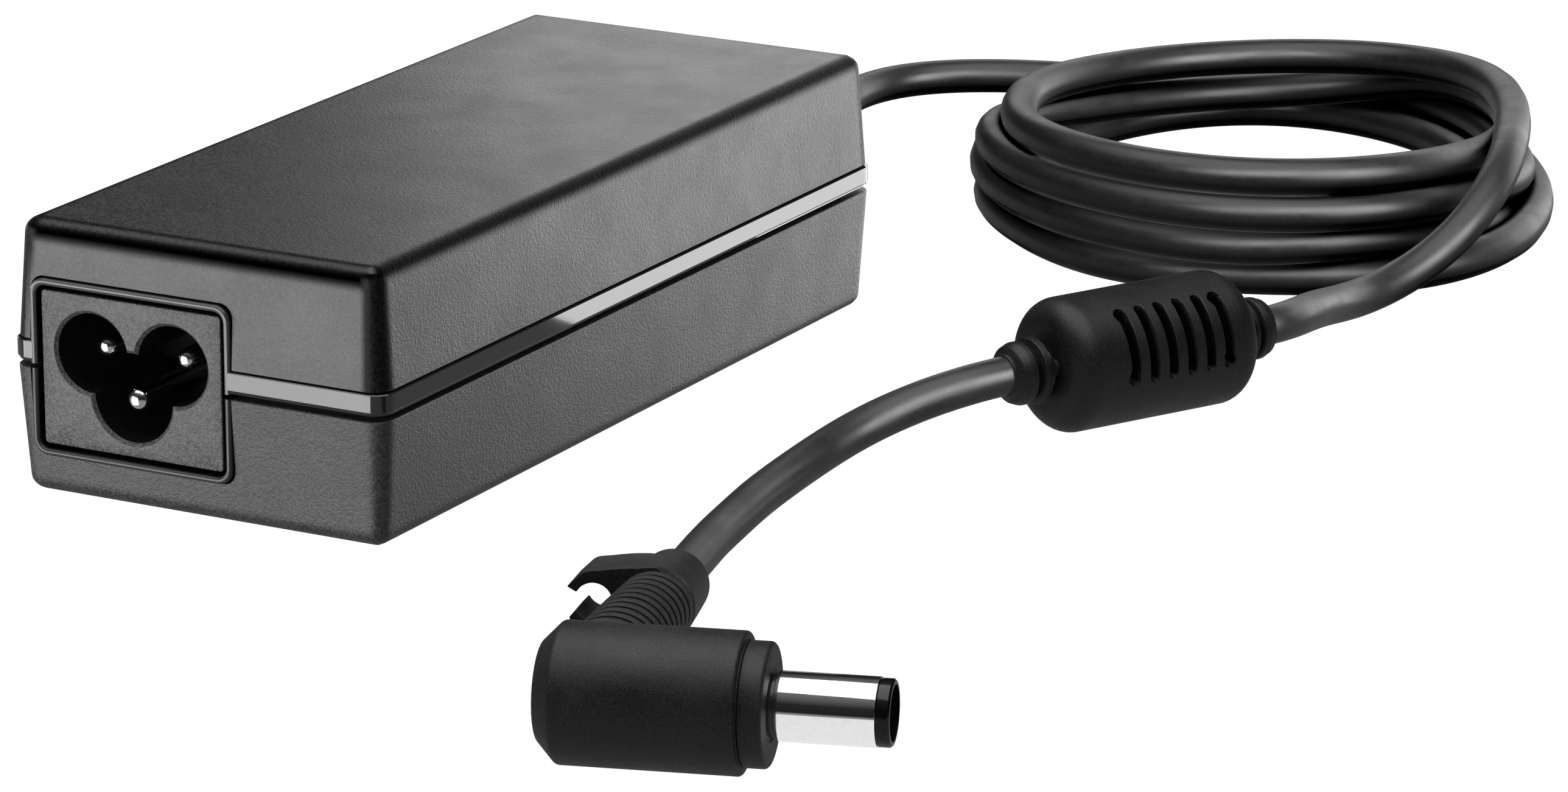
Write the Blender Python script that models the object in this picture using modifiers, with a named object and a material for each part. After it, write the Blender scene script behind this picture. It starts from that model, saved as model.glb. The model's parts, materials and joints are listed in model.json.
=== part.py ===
"""Laptop power adapter with its output lead, ferrite bead and right-angle barrel plug.

Metres, +Z up. The origin is the centre of the case's bottom face,
+Y runs along the case from the mains inlet to the end where the lead leaves.
"""

import math

import bmesh
import bpy
import numpy as np
from mathutils import Matrix, Vector

# ---------------------------------------------------------------- dimensions (mm)
MM = 0.001
GAP = 0.3  # clearance between touching pieces

LENGTH, WIDTH, HEIGHT = 107.8, 46.0, 29.9  # the case, at its widest, which is the seam
SEAM_LOW, SEAM_HIGH = 13.92, 14.45  # the open line between the two shells
DRAFT = 0.064  # each wall leans in by this much per millimetre away from the seam
WALL = 2.2
EDGE = 1.8  # radius of the outer edges
BAND_TOP, BAND_PROUD, BAND_DEEP = 16.85, 0.12, 1.18

INLET_X, INLET_Z = -8.05, 14.15  # centre of the inlet's face
INLET_W, INLET_H = 22.4, 16.9
INLET_FACE, INLET_BACK = -53.6, -35.7
INLET_GAP = 0.5  # open line round the inlet's face
RIM = 0.75  # width of the polished bead round it
RIM_FACE = -54.05
LOBE_R, LOBE_X, LOBE_Z = 4.35, 5.0, 16.3
EARTH_LOBE_R, EARTH_LOBE_Z = 4.85, 12.15
RECESS_DEEP = 15.5
PIN_R, EARTH_R = 1.18, 1.3
PIN_OUT, EARTH_Z = 5.0, 11.75  # line and neutral pins to either side, and the earth pin's height
PIN_TIP, EARTH_TIP, PIN_END = -50.8, -53.2, -32.0

CORD_R = 2.15
EXIT_Z = 14.2
GROMMET_END = 78.7

BEAD_LEFT, BEAD_RIGHT, BEAD_Z = (63.6, 16.48), (75.28, 38.57), 7.5
BEAD_R, BEAD_SLOTS, BEAD_PITCH = 7.5, 6, 2.55

PLUG_DIR = Vector((0.9524, 0.3050, 0.0))  # from the housing's closed end to the tip
PLUG_Z, PLUG_R = 6.85, 6.85
PLUG_START = Vector((68.79, -99.95, PLUG_Z))
TAIL_DIR = Vector((-0.3050, 0.9524, 0.0))  # the way the lead leaves the plug
TAIL_START = Vector((72.63, -98.72, PLUG_Z))

COIL_C, COIL_A, COIL_B, COIL_H = (93.7, 82.0), 35.4, 47.5, 17.5
COIL_IN_C, COIL_IN_A, COIL_IN_B = (93.45, 73.5), 26.6, 32.8
COIL_TURN = math.radians(28.43)  # the coil's long side lies at this angle to +Y

# ---------------------------------------------------------------- scene and helpers
for old in list(bpy.data.objects):
    bpy.data.objects.remove(old, do_unlink=True)

PARTS = bpy.data.collections.new("power_adapter")
CUTTERS = bpy.data.collections.new("cutters")
for coll in (PARTS, CUTTERS):
    bpy.context.scene.collection.children.link(coll)
CUTTERS.hide_render = True


def material(name, colour, rough, metal=0.0):
    mat = bpy.data.materials.new(name)
    mat.use_nodes = True
    shader = mat.node_tree.nodes["Principled BSDF"]
    shader.inputs["Base Color"].default_value = (*colour, 1.0)
    shader.inputs["Roughness"].default_value = rough
    shader.inputs["Metallic"].default_value = metal
    return mat


def link(name, mesh, finish=None):
    """An object for this mesh: a part where it has a finish, else a helper shape."""
    obj = bpy.data.objects.new(name, mesh)
    if finish is None:
        CUTTERS.objects.link(obj)
        obj.hide_render = True
        obj.display_type = "WIRE"
    else:
        PARTS.objects.link(obj)
        mesh.materials.append(material(name, *finish))
    return obj


def block(name, low, high, finish=None, bevel=0.0, segments=2):
    """A box between two corners, in millimetres."""
    low, high = Vector(low), Vector(high)
    mesh = bpy.data.meshes.new(name)
    bm = bmesh.new()
    bmesh.ops.create_cube(bm, size=1.0)
    bmesh.ops.scale(bm, vec=(high - low) * MM, verts=bm.verts)
    bm.to_mesh(mesh)
    bm.free()
    obj = link(name, mesh, finish)
    obj.location = (low + high) / 2 * MM
    if bevel:
        round_edges(obj, bevel, segments)
    return obj


def round_edges(obj, width, segments=2, angle=30):
    mod = obj.modifiers.new("round", "BEVEL")
    mod.width = width * MM
    mod.segments = segments
    mod.limit_method = "ANGLE"
    mod.angle_limit = math.radians(angle)
    mod.use_clamp_overlap = True


def along(direction):
    """The rotation that turns +Z to this direction."""
    return Vector((0, 0, 1)).rotation_difference(Vector(direction).normalized()).to_matrix().to_4x4()


def rod(name, radius, start, end, finish=None, sides=24, end_radius=None):
    """A cylinder or cone between two points, in millimetres."""
    start, end = Vector(start), Vector(end)
    mesh = bpy.data.meshes.new(name)
    bm = bmesh.new()
    bmesh.ops.create_cone(
        bm,
        cap_ends=True,
        segments=sides,
        radius1=radius * MM,
        radius2=(radius if end_radius is None else end_radius) * MM,
        depth=(end - start).length * MM,
    )
    bm.to_mesh(mesh)
    bm.free()
    obj = link(name, mesh, finish)
    obj.matrix_world = Matrix.Translation((start + end) / 2 * MM) @ along(end - start)
    return obj


def turned(name, profile, start, direction, finish=None, steps=32, closed=False):
    """A profile of (radius, distance) pairs, last along the axis first, turned round the axis."""
    mesh = bpy.data.meshes.new(name)
    points = [(r * MM, 0.0, z * MM) for r, z in profile]
    edges = [(i, i + 1) for i in range(len(points) - 1)]
    if closed:
        edges.append((len(points) - 1, 0))
    mesh.from_pydata(points, edges, [])
    obj = link(name, mesh, finish)
    mod = obj.modifiers.new("turn", "SCREW")
    mod.axis = "Z"
    mod.angle = math.tau
    mod.steps = mod.render_steps = steps
    mod.use_merge_vertices = True
    mod.merge_threshold = 0.00001
    obj.matrix_world = Matrix.Translation(Vector(start) * MM) @ along(direction)
    return obj


def boolean(obj, other, operation="DIFFERENCE"):
    mod = obj.modifiers.new(operation.lower(), "BOOLEAN")
    mod.operation = operation
    mod.solver = "EXACT"
    mod.object = other
    return obj


def tray(name, seam, end, inset=0.0, finish=None, bevel=0.0):
    """A closed block with drafted walls, widest at the seam and drafted in towards its end."""
    mesh = bpy.data.meshes.new(name)
    bm = bmesh.new()
    bmesh.ops.create_cube(bm, size=2.0)
    for v in bm.verts:
        at_seam = (v.co.z > 0) == (seam > end)
        z = seam if at_seam else end
        lean = inset + DRAFT * min(abs(z - SEAM_LOW), abs(z - SEAM_HIGH))
        v.co = Vector((v.co.x * (WIDTH / 2 - lean), v.co.y * (LENGTH / 2 - lean), z)) * MM
    seam_face = [f for f in bm.faces if all(abs(v.co.z - seam * MM) < 1e-6 for v in f.verts)][0]
    if bevel:
        edges = [e for e in bm.edges if not (e.verts[0] in seam_face.verts and e.verts[1] in seam_face.verts)]
        bmesh.ops.bevel(bm, geom=edges, offset=bevel * MM, segments=3, profile=0.5, affect="EDGES")
    bm.to_mesh(mesh)
    bm.free()
    return link(name, mesh, finish)


def curve_through(knots, spacing):
    """Points this far apart on a smooth curve through the knots (cubic, second derivative continuous)."""
    knots = np.array(knots, float)
    t = np.concatenate([[0], np.cumsum(np.sqrt(np.linalg.norm(np.diff(knots, axis=0), axis=1)))])
    n, h = len(t), np.diff(t)
    lhs, rhs = np.eye(n), np.zeros_like(knots)
    for i in range(1, n - 1):
        lhs[i, i - 1 : i + 2] = h[i - 1], 2 * (h[i - 1] + h[i]), h[i]
        rhs[i] = 6 * ((knots[i + 1] - knots[i]) / h[i] - (knots[i] - knots[i - 1]) / h[i - 1])
    bend = np.linalg.solve(lhs, rhs)
    fine = []
    for i in range(n - 1):
        for s in np.linspace(0, h[i], 40, endpoint=i == n - 2):
            r = h[i] - s
            fine.append(
                (bend[i] * r**3 + bend[i + 1] * s**3) / (6 * h[i])
                + (knots[i] / h[i] - bend[i] * h[i] / 6) * r
                + (knots[i + 1] / h[i] - bend[i + 1] * h[i] / 6) * s
            )
    fine = np.array(fine)
    run = np.concatenate([[0], np.cumsum(np.linalg.norm(np.diff(fine, axis=0), axis=1))])
    wanted = np.linspace(0, run[-1], max(2, round(run[-1] / spacing) + 1))
    return np.stack([np.interp(wanted, run, fine[:, k]) for k in range(3)], axis=1)


def tube(name, points, radius, finish=None, radii=None, sides=2):
    """A POLY curve of round section with filled caps; radii scale it along its length."""
    data = bpy.data.curves.new(name, "CURVE")
    data.dimensions = "3D"
    data.bevel_depth = radius * MM
    data.bevel_resolution = sides
    data.use_fill_caps = True
    spline = data.splines.new("POLY")
    spline.points.add(len(points) - 1)
    for i, point in enumerate(points):
        spline.points[i].co = (*(Vector(point) * MM), 1.0)
        spline.points[i].radius = 1.0 if radii is None else radii[i] / radius
    obj = bpy.data.objects.new(name, data)
    if finish is None:
        CUTTERS.objects.link(obj)
        obj.hide_render = True
    else:
        PARTS.objects.link(obj)
        data.materials.append(material(name, *finish))
    return obj


def as_mesh(obj, finish):
    """The curve's mesh with its caps welded, in place of the curve."""
    bpy.context.view_layer.update()
    graph = bpy.context.evaluated_depsgraph_get()
    mesh = bpy.data.meshes.new_from_object(obj.evaluated_get(graph))
    bm = bmesh.new()
    bm.from_mesh(mesh)
    bmesh.ops.remove_doubles(bm, verts=bm.verts, dist=1e-6)
    bmesh.ops.recalc_face_normals(bm, faces=bm.faces)
    bm.to_mesh(mesh)
    bm.free()
    name, place = obj.name, obj.matrix_world.copy()
    mesh.materials.clear()
    bpy.data.objects.remove(obj, do_unlink=True)
    new = link(name, mesh, finish)
    new.matrix_world = place
    return new


def oval(name, centre, a, b, low, high, finish=None, bevel=0.0):
    """An upright oval cylinder, its axes turned with the coil."""
    mesh = bpy.data.meshes.new(name)
    bm = bmesh.new()
    bmesh.ops.create_cone(bm, cap_ends=True, segments=40, radius1=1.0, radius2=1.0, depth=(high - low) * MM)
    bmesh.ops.scale(bm, vec=(a * MM, b * MM, 1.0), verts=bm.verts)
    bm.to_mesh(mesh)
    bm.free()
    obj = link(name, mesh, finish)
    u, v = centre
    x = u * math.cos(COIL_TURN) - v * math.sin(COIL_TURN)
    y = u * math.sin(COIL_TURN) + v * math.cos(COIL_TURN)
    obj.matrix_world = Matrix.Translation(Vector((x, y, (low + high) / 2)) * MM) @ Matrix.Rotation(COIL_TURN, 4, "Z")
    if bevel:
        round_edges(obj, bevel, 2, 60)
    return obj


CASE = ((0.035, 0.036, 0.038), 0.62)
POLISHED = ((0.03, 0.03, 0.032), 0.12)
RUBBER = ((0.02, 0.02, 0.021), 0.6)
CORD = ((0.012, 0.012, 0.013), 0.42)
NICKEL = ((0.75, 0.74, 0.72), 0.2, 1.0)
CHROME = ((0.82, 0.82, 0.82), 0.08, 1.0)
STEEL = ((0.55, 0.55, 0.56), 0.35, 1.0)
ALUMINIUM = ((0.7, 0.7, 0.71), 0.4, 1.0)
BLACK = ((0.015, 0.015, 0.016), 0.35)
FERRITE = ((0.05, 0.048, 0.046), 0.55)
COPPER = ((0.72, 0.35, 0.16), 0.35, 1.0)

# ---------------------------------------------------------------- case
def inlet_box(name, grow, front, back, low=None, high=None, finish=None, bevel=0.0):
    half_w, half_h = INLET_W / 2 + grow, INLET_H / 2 + grow
    return block(
        name,
        (INLET_X - half_w, front, INLET_Z - half_h if low is None else low),
        (INLET_X + half_w, back, INLET_Z + half_h if high is None else high),
        finish,
        bevel,
    )


opening = inlet_box("inlet_opening", INLET_GAP, -60, -48)
exit_hole = rod("exit_hole", 4.3, (0, 48, EXIT_Z), (0, 60, EXIT_Z), sides=28)

upper_shell = tray("upper_shell", SEAM_HIGH, HEIGHT, finish=CASE, bevel=EDGE)
boolean(upper_shell, tray("upper_inside", SEAM_HIGH - 3, HEIGHT - WALL, inset=WALL))
rebate = block("rebate", (-60, -80, SEAM_HIGH - 1), (60, 80, BAND_TOP + GAP))
boolean(
    rebate,
    block(
        "rebate_core",
        (-WIDTH / 2 + BAND_DEEP + GAP, -LENGTH / 2 + BAND_DEEP + GAP, SEAM_HIGH - 3),
        (WIDTH / 2 - BAND_DEEP - GAP, LENGTH / 2 - BAND_DEEP - GAP, BAND_TOP + 3),
    ),
)
boolean(upper_shell, rebate)
boolean(upper_shell, inlet_box("rim_seat", INLET_GAP + RIM + GAP, -60, -48, low=SEAM_HIGH - 2))
boolean(upper_shell, exit_hole)

trim_band = block(
    "trim_band",
    (-WIDTH / 2 - BAND_PROUD, -LENGTH / 2 - BAND_PROUD, SEAM_HIGH),
    (WIDTH / 2 + BAND_PROUD, LENGTH / 2 + BAND_PROUD, BAND_TOP),
    POLISHED,
)
corners = trim_band.modifiers.new("corners", "BEVEL")
corners.width = EDGE * MM
corners.segments = 3
corners.limit_method = "WEIGHT"
weights = trim_band.data.attributes.new("bevel_weight_edge", "FLOAT", "EDGE")
for edge in trim_band.data.edges:
    a, b = (trim_band.data.vertices[i].co for i in edge.vertices)
    weights.data[edge.index].value = 1.0 if abs(a.z - b.z) > 1e-5 else 0.0
boolean(
    trim_band,
    block(
        "band_core",
        (-WIDTH / 2 + BAND_DEEP, -LENGTH / 2 + BAND_DEEP, SEAM_HIGH - 3),
        (WIDTH / 2 - BAND_DEEP, LENGTH / 2 - BAND_DEEP, BAND_TOP + 3),
    ),
)
boolean(
    trim_band,
    inlet_box("rim_upper", INLET_GAP + RIM, RIM_FACE, -LENGTH / 2 + WALL, low=SEAM_HIGH),
    "UNION",
)
boolean(trim_band, opening)
boolean(trim_band, exit_hole)

lower_shell = tray("lower_shell", SEAM_LOW, 0.0, finish=CASE, bevel=EDGE)
boolean(lower_shell, tray("lower_inside", SEAM_LOW + 3, WALL, inset=WALL))
LIP_OUT, LIP_IN = WALL + GAP + 0.15, WALL + GAP + 1.35  # distances in from the case's widest outline
lip_foot = block(
    "lip_foot",
    (-WIDTH / 2 + WALL - 0.15, -LENGTH / 2 + WALL - 0.15, 10.5),
    (WIDTH / 2 - WALL + 0.15, LENGTH / 2 - WALL + 0.15, 13.2),
)
lip = block(
    "lip",
    (-WIDTH / 2 + LIP_OUT, -LENGTH / 2 + LIP_OUT, 12.0),
    (WIDTH / 2 - LIP_OUT, LENGTH / 2 - LIP_OUT, 16.2),
)
lip_core = block(
    "lip_core",
    (-WIDTH / 2 + LIP_IN, -LENGTH / 2 + LIP_IN, 9.0),
    (WIDTH / 2 - LIP_IN, LENGTH / 2 - LIP_IN, 18.0),
)
boolean(lip, lip_foot, "UNION")
boolean(lip, lip_core)
boolean(lower_shell, lip, "UNION")
boolean(
    lower_shell,
    inlet_box("rim_lower", INLET_GAP + RIM, RIM_FACE, -LENGTH / 2 + WALL - 0.6, high=SEAM_LOW),
    "UNION",
)
boolean(lower_shell, opening)
boolean(lower_shell, block("rim_clear", (INLET_X - 13.5, -52.0, SEAM_LOW), (INLET_X + 13.5, -49.0, 18.0)))
boolean(lower_shell, inlet_box("housing_clear", GAP, -52, INLET_BACK + GAP))
boolean(lower_shell, exit_hole)
boolean(lower_shell, block("flange_clear", (-7.0, 47.5, 7.6), (7.0, 51.2, 20.8)))

# ---------------------------------------------------------------- mains inlet
inlet_housing = inlet_box("inlet_housing", 0.0, INLET_FACE, INLET_BACK, finish=BLACK, bevel=0.5)
floor_y = INLET_FACE + RECESS_DEEP
for name, x, z, radius in (
    ("lobe_line", INLET_X - LOBE_X, LOBE_Z, LOBE_R),
    ("lobe_neutral", INLET_X + LOBE_X, LOBE_Z, LOBE_R),
    ("lobe_earth", INLET_X, EARTH_LOBE_Z, EARTH_LOBE_R),
):
    boolean(inlet_housing, rod(name, radius, (x, -60, z), (x, floor_y, z), sides=28))
boolean(
    inlet_housing,
    block("lobe_middle", (INLET_X - EARTH_LOBE_R, -60, 11.95), (INLET_X + EARTH_LOBE_R, floor_y, LOBE_Z + 0.15)),
)
PINS = (
    ("line", INLET_X - 0.2 - PIN_OUT, LOBE_Z, PIN_R, PIN_TIP),
    ("neutral", INLET_X - 0.2 + PIN_OUT, LOBE_Z, PIN_R, PIN_TIP),
    ("earth", INLET_X, EARTH_Z, EARTH_R, EARTH_TIP),
)
for name, x, z, radius, tip in PINS:
    boolean(inlet_housing, rod(name + "_bore", radius + GAP, (x, -40, z), (x, -30, z), sides=20))
    nose = [(radius * math.sin(a), -radius * math.cos(a) * 0.6) for a in np.linspace(math.pi / 2, 0, 5)]
    profile = [(0.0, PIN_END - tip - 0.6 * radius), (radius, PIN_END - tip - 0.6 * radius), *nose]
    turned(name + "_pin", profile, (x, tip + 0.6 * radius, z), (0, 1, 0), NICKEL, steps=20)
    block(name + "_tab", (x - 1.2, PIN_END + GAP, 6.9), (x + 1.2, PIN_END + 1.1, z + 1.2), NICKEL)

# ---------------------------------------------------------------- electronics
block("base_insulator", (-18.6, -34, 2.6), (18.6, 46.5, 3.0), ((0.75, 0.72, 0.6), 0.5))
block("circuit_board", (-18.8, -34.5, 5.0), (18.8, 47.0, 6.6), ((0.03, 0.16, 0.06), 0.5))
block("controller_chip", (-3.0, -4.0, 3.4), (3.0, 1.0, 4.7), BLACK)
rod("fuse", 2.6, (-18.0, -26.2, 9.8), (-8.0, -26.2, 9.8), ((0.6, 0.58, 0.5), 0.3), sides=16)
block("x_capacitor", (0.0, -29.3, 6.9), (17.5, -21.3, 20.5), ((0.75, 0.6, 0.12), 0.4), bevel=0.6, segments=1)
rod("y_capacitor", 4.0, (-13.0, -22.2, 11.2), (-13.0, -19.4, 11.2), ((0.1, 0.22, 0.55), 0.4), sides=20)

CHOKE = Vector((-8.0, -10.0, 10.4))


def ring(name, major, minor, finish=None, sides=(24, 10)):
    """A ring lying flat round the choke's centre, its section a circle."""
    profile = [
        (major + minor * math.cos(a), minor * math.sin(a))
        for a in np.linspace(math.pi, -math.pi, sides[1], endpoint=False)
    ]
    return turned(name, profile, CHOKE, (0, 0, 1), finish, steps=sides[0], closed=True)


ring("choke_core", 5.2, 2.2, FERRITE)
winding = ring("choke_winding", 5.2, 3.2, COPPER)
boolean(winding, ring("choke_bore", 5.2, 2.5))
boolean(winding, block("choke_split", CHOKE - Vector((2.0, 0.0, 6.0)), CHOKE + Vector((2.0, 12.0, 6.0))))

block("bridge_rectifier", (1.0, -19.3, 6.9), (16.5, -15.8, 18.5), BLACK, bevel=0.4, segments=1)
rod("bulk_capacitor", 8.0, (10.5, -14.6, 15.2), (10.5, 15.4, 15.2), ((0.02, 0.03, 0.06), 0.3), sides=28)

for name, side, low, high in (
    ("primary_heat_sink", -1, -2.0, 15.0),
    ("secondary_heat_sink", 1, 19.0, 44.0),
):
    sink = block(name, (17.3 * side, low, 6.9), (18.6 * side, high, 24.0), ALUMINIUM) if side > 0 else block(
        name, (18.6 * side, low, 6.9), (17.3 * side, high, 24.0), ALUMINIUM
    )
    inner, outer = sorted((12.0 * side, 18.0 * side))
    boolean(sink, block(name + "_top", (inner, low, 22.7), (outer, high, 24.0)), "UNION")
block("switching_transistor", (-17.0, 1.5, 7.5), (-12.5, 11.5, 22.4), BLACK, bevel=0.4, segments=1)
block("output_rectifier", (12.5, 22.0, 7.5), (17.0, 32.0, 22.4), BLACK, bevel=0.4, segments=1)

TX, TY, TZ = -4.0, 26.7, 15.6
core = block("transformer_core", (TX - 13, TY - 5.5, TZ - 8.5), (TX + 13, TY + 5.5, TZ + 8.5), FERRITE)
for side in (-1, 1):
    x0, x1 = sorted((TX + side * 4.0, TX + side * 10.0))
    boolean(core, block(f"window_{side + 1}", (x0, TY - 9, TZ - 4.6), (x1, TY + 9, TZ + 4.6)))
bobbin = block("transformer_bobbin", (TX - 9.4, TY - 10.9, TZ - 4.2), (TX + 9.4, TY + 10.9, TZ + 4.2), BLACK)
waist = block("bobbin_waist", (TX - 20, TY - 20, TZ - 3.4), (TX + 20, TY + 20, TZ + 3.4))
boolean(waist, block("bobbin_tube", (TX - 5.3, TY - 6.8, TZ - 6), (TX + 5.3, TY + 6.8, TZ + 6)))
boolean(bobbin, waist)
boolean(bobbin, block("bobbin_bore", (TX - 4.3, TY - 5.8, TZ - 9), (TX + 4.3, TY + 5.8, TZ + 9)))
coil = block(
    "transformer_winding", (TX - 9.1, TY - 10.5, TZ - 3.1), (TX + 9.1, TY + 10.5, TZ + 3.1), ((0.8, 0.65, 0.1), 0.4)
)
boolean(coil, block("winding_bore", (TX - 5.6, TY - 7.1, TZ - 6), (TX + 5.6, TY + 7.1, TZ + 6)))

rod("output_capacitor_a", 4.0, (-13.5, 42.6, 6.9), (-13.5, 42.6, 21.0), ((0.03, 0.08, 0.05), 0.3), sides=20)
rod("output_capacitor_b", 4.0, (-5.2, 42.3, 6.9), (-5.2, 42.3, 21.0), ((0.03, 0.08, 0.05), 0.3), sides=20)
drum = [(0, 9.5), (4.0, 9.5), (4.0, 8.0), (2.6, 8.0), (2.6, 1.5), (4.0, 1.5), (4.0, 0), (0, 0)]
turned("output_choke", drum, (6.0, 42.0, 6.9), (0, 0, 1), FERRITE, steps=20)
block("optocoupler", (10.8, 34.5, 6.9), (15.4, 40.5, 10.4), BLACK)
block("top_insulator", (-17.6, -29.5, 25.2), (17.6, 46.0, 25.6), ((0.75, 0.72, 0.6), 0.5))
block("shield_plate", (-18.0, -30.0, 26.0), (18.0, 46.4, 26.5), COPPER)

# ---------------------------------------------------------------- output lead's exit
Y = 48.6  # inner end of the grommet
grommet_profile = [
    (0.0, GROMMET_END - Y),
    (2.6, GROMMET_END - Y),
    (2.75, 77.9 - Y),
    (3.75, 56.6 - Y),
    (4.7, 56.2 - Y),
    (4.7, 54.9 - Y),
    (4.3, 54.35 - Y),
    (3.95, 54.35 - Y),
    (3.95, 50.9 - Y),
    (6.2, 50.9 - Y),
    (6.2, 0.0),
    (0.0, 0.0),
]
turned("cord_grommet", grommet_profile, (0, Y, EXIT_Z), (0, 1, 0), RUBBER, steps=24)
for name, side in (("positive_lead", -1), ("negative_lead", 1)):
    route = curve_through(
        [(1.2 + 1.6 * side, 48.1, EXIT_Z), (1.2 + 1.6 * side, 47.3, 13.6), (1.2 + 1.6 * side, 46.9, 11.8), (1.2 + 1.6 * side, 46.7, 9.0), (1.2 + 1.6 * side, 46.7, 7.0)], 1.4
    )
    tube(name, route, 0.7, ((0.5, 0.05, 0.04), 0.4) if side < 0 else BLACK, sides=1)

# ---------------------------------------------------------------- output lead
exit_knots = [
    (0.0, 79.2, 14.2),
    (-0.1, 84.0, 13.9),
    (-1.6, 89.5, 12.6),
    (-4.6, 95.5, 10.2),
    (-9.8, 106.0, 6.9),
    (-13.9, 116.0, 4.4),
    (-17.6, 125.5, 2.9),
    (-20.6, 133.5, 2.3),
    (-20.0, 141.0, 2.2),
    (-15.2, 147.0, 2.2),
    (-8.0, 151.3, 2.2),
    (2.5, 154.4, 2.2),
    (14.0, 156.8, 2.2),
]
tube("cord_exit_run", curve_through(exit_knots, 9.5), CORD_R, CORD)

coil_ring = oval("cord_coil", COIL_C, COIL_A, COIL_B, 0.05, COIL_H, CORD, bevel=2.0)
boolean(coil_ring, oval("coil_middle", COIL_IN_C, COIL_IN_A, COIL_IN_B, -5, COIL_H + 5))

bead_a, bead_b = Vector((*BEAD_LEFT, BEAD_Z)), Vector((*BEAD_RIGHT, BEAD_Z))
bead_dir = (bead_b - bead_a).normalized()
straight = [bead_a + bead_dir * d for d in (-7.0, -4.0, 0.0, 8.0, 17.0, 25.0, 29.0, 32.0)]
front_knots = [
    (83.2, 94.8, 12.6),
    (83.3, 91.0, 10.9),
    (81.8, 86.8, 7.7),
    (79.0, 82.4, 4.8),
    (76.8, 76.5, 3.4),
    (76.2, 68.3, 3.9),
    (77.0, 60.4, 5.2),
    (78.2, 52.0, 6.7),
    (78.8, 47.6, 7.4),
    *reversed(straight),
    (57.9, 6.0, 7.0),
    (55.6, 3.6, 6.2),
    (53.4, 1.6, 5.2),
    (51.7, -1.4, 4.3),
    (50.6, -5.4, 3.5),
    (50.0, -10.8, 2.8),
    (49.9, -17.0, 2.3),
    (51.0, -26.0, 2.2),
    (52.9, -35.6, 2.3),
    (55.0, -43.6, 2.9),
    (57.4, -51.3, 3.5),
    (59.3, -57.15, 3.9),
]
tube("cord_front_run", curve_through(front_knots, 6.5), CORD_R, CORD)

# ---------------------------------------------------------------- ferrite bead
span = (bead_b - bead_a).length
shell_profile = []
for a in np.linspace(0, math.pi / 2, 4):
    shell_profile.append((BEAD_R - 3 + 3 * math.sin(a), span - 3 + 3 * math.cos(a)))
for a in np.linspace(math.pi / 2, math.pi, 4):
    shell_profile.append((BEAD_R - 3 + 3 * math.sin(a), 3 + 3 * math.cos(a)))
collar = [(3.5, -0.9), (3.5, -2.1), (2.9, -2.1), (2.9, -2.8), (3.4, -2.8), (3.05, -5.1), (2.5, -5.1)]
overmould_profile = (
    [(2.5, span + 5.1), (3.05, span + 5.1)]
    + [(r, span - d) for r, d in reversed(collar[:-2])]
    + [(3.0, span + 0.9), (3.0, span)]
    + shell_profile
    + [(3.0, 0.0), (3.0, -0.9)]
    + collar
)
overmould = turned("ferrite_overmould", overmould_profile, bead_a, bead_dir, RUBBER, steps=32, closed=True)
boolean(overmould, rod("ferrite_cavity", 6.1, bead_a + bead_dir * 2.2, bead_b - bead_dir * 2.2, sides=32))
core = turned(
    "ferrite_core",
    [(2.6, span - 2.5), (5.8, span - 2.5), (5.8, 2.5), (2.6, 2.5)],
    bead_a,
    bead_dir,
    FERRITE,
    steps=28,
    closed=True,
)
facing = Vector((bead_dir.y, -bead_dir.x, 0.0))  # out of the bead's side, level
middle = (bead_a + bead_b) / 2 + bead_dir * 1.0
for i in range(BEAD_SLOTS):
    at = middle + bead_dir * BEAD_PITCH * (i - (BEAD_SLOTS - 1) / 2)
    slot = block(f"bead_slot_{i}", (-0.52, 0.0, -3.75), (0.52, 9.0, 3.75))
    place = Matrix((bead_dir, facing, Vector((0, 0, 1)))).transposed().to_4x4()
    tilt = Matrix.Rotation(math.radians(-25), 4, bead_dir)
    slot.matrix_world = Matrix.Translation(at * MM) @ tilt @ place @ Matrix.Translation((0, 4.5 * MM, 0))
    boolean(overmould, slot)

# ---------------------------------------------------------------- plug
turned(
    "plug_housing",
    [(0, 19.56), (PLUG_R - 0.8, 19.56), (PLUG_R, 18.7), (PLUG_R, 1.9), (PLUG_R - 1.9, 0.0), (0, 0)],
    PLUG_START,
    PLUG_DIR,
    RUBBER,
    steps=36,
)
collar_at = PLUG_START + PLUG_DIR * (19.56 + GAP)
turned("plug_collar", [(0, 2.25), (5.8, 2.25), (6.0, 2.0), (6.0, 0), (0, 0)], collar_at, PLUG_DIR, RUBBER, steps=32)
barrel_at = collar_at + PLUG_DIR * (2.25 + GAP)
turned(
    "plug_barrel",
    [(2.9, 9.9), (3.35, 9.9), (3.35, 0.0), (2.9, 0.0)],
    barrel_at,
    PLUG_DIR,
    CHROME,
    steps=28,
    closed=True,
)
turned(
    "plug_tip",
    [(2.6, 1.4), (3.0, 1.4), (3.25, 1.15), (3.25, 0.0), (2.6, 0.0)],
    barrel_at + PLUG_DIR * (9.9 + GAP),
    PLUG_DIR,
    BLACK,
    steps=28,
    closed=True,
)
turned(
    "plug_inner_sleeve",
    [(1.95, 10.4), (2.2, 10.4), (2.2, 0.0), (1.95, 0.0)],
    barrel_at,
    PLUG_DIR,
    NICKEL,
    steps=20,
    closed=True,
)
turned("plug_centre_pin", [(0, 9.6), (0.3, 9.5), (0.5, 9.0), (0.5, 0.0), (0, 0)], barrel_at, PLUG_DIR, NICKEL, steps=12)


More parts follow.
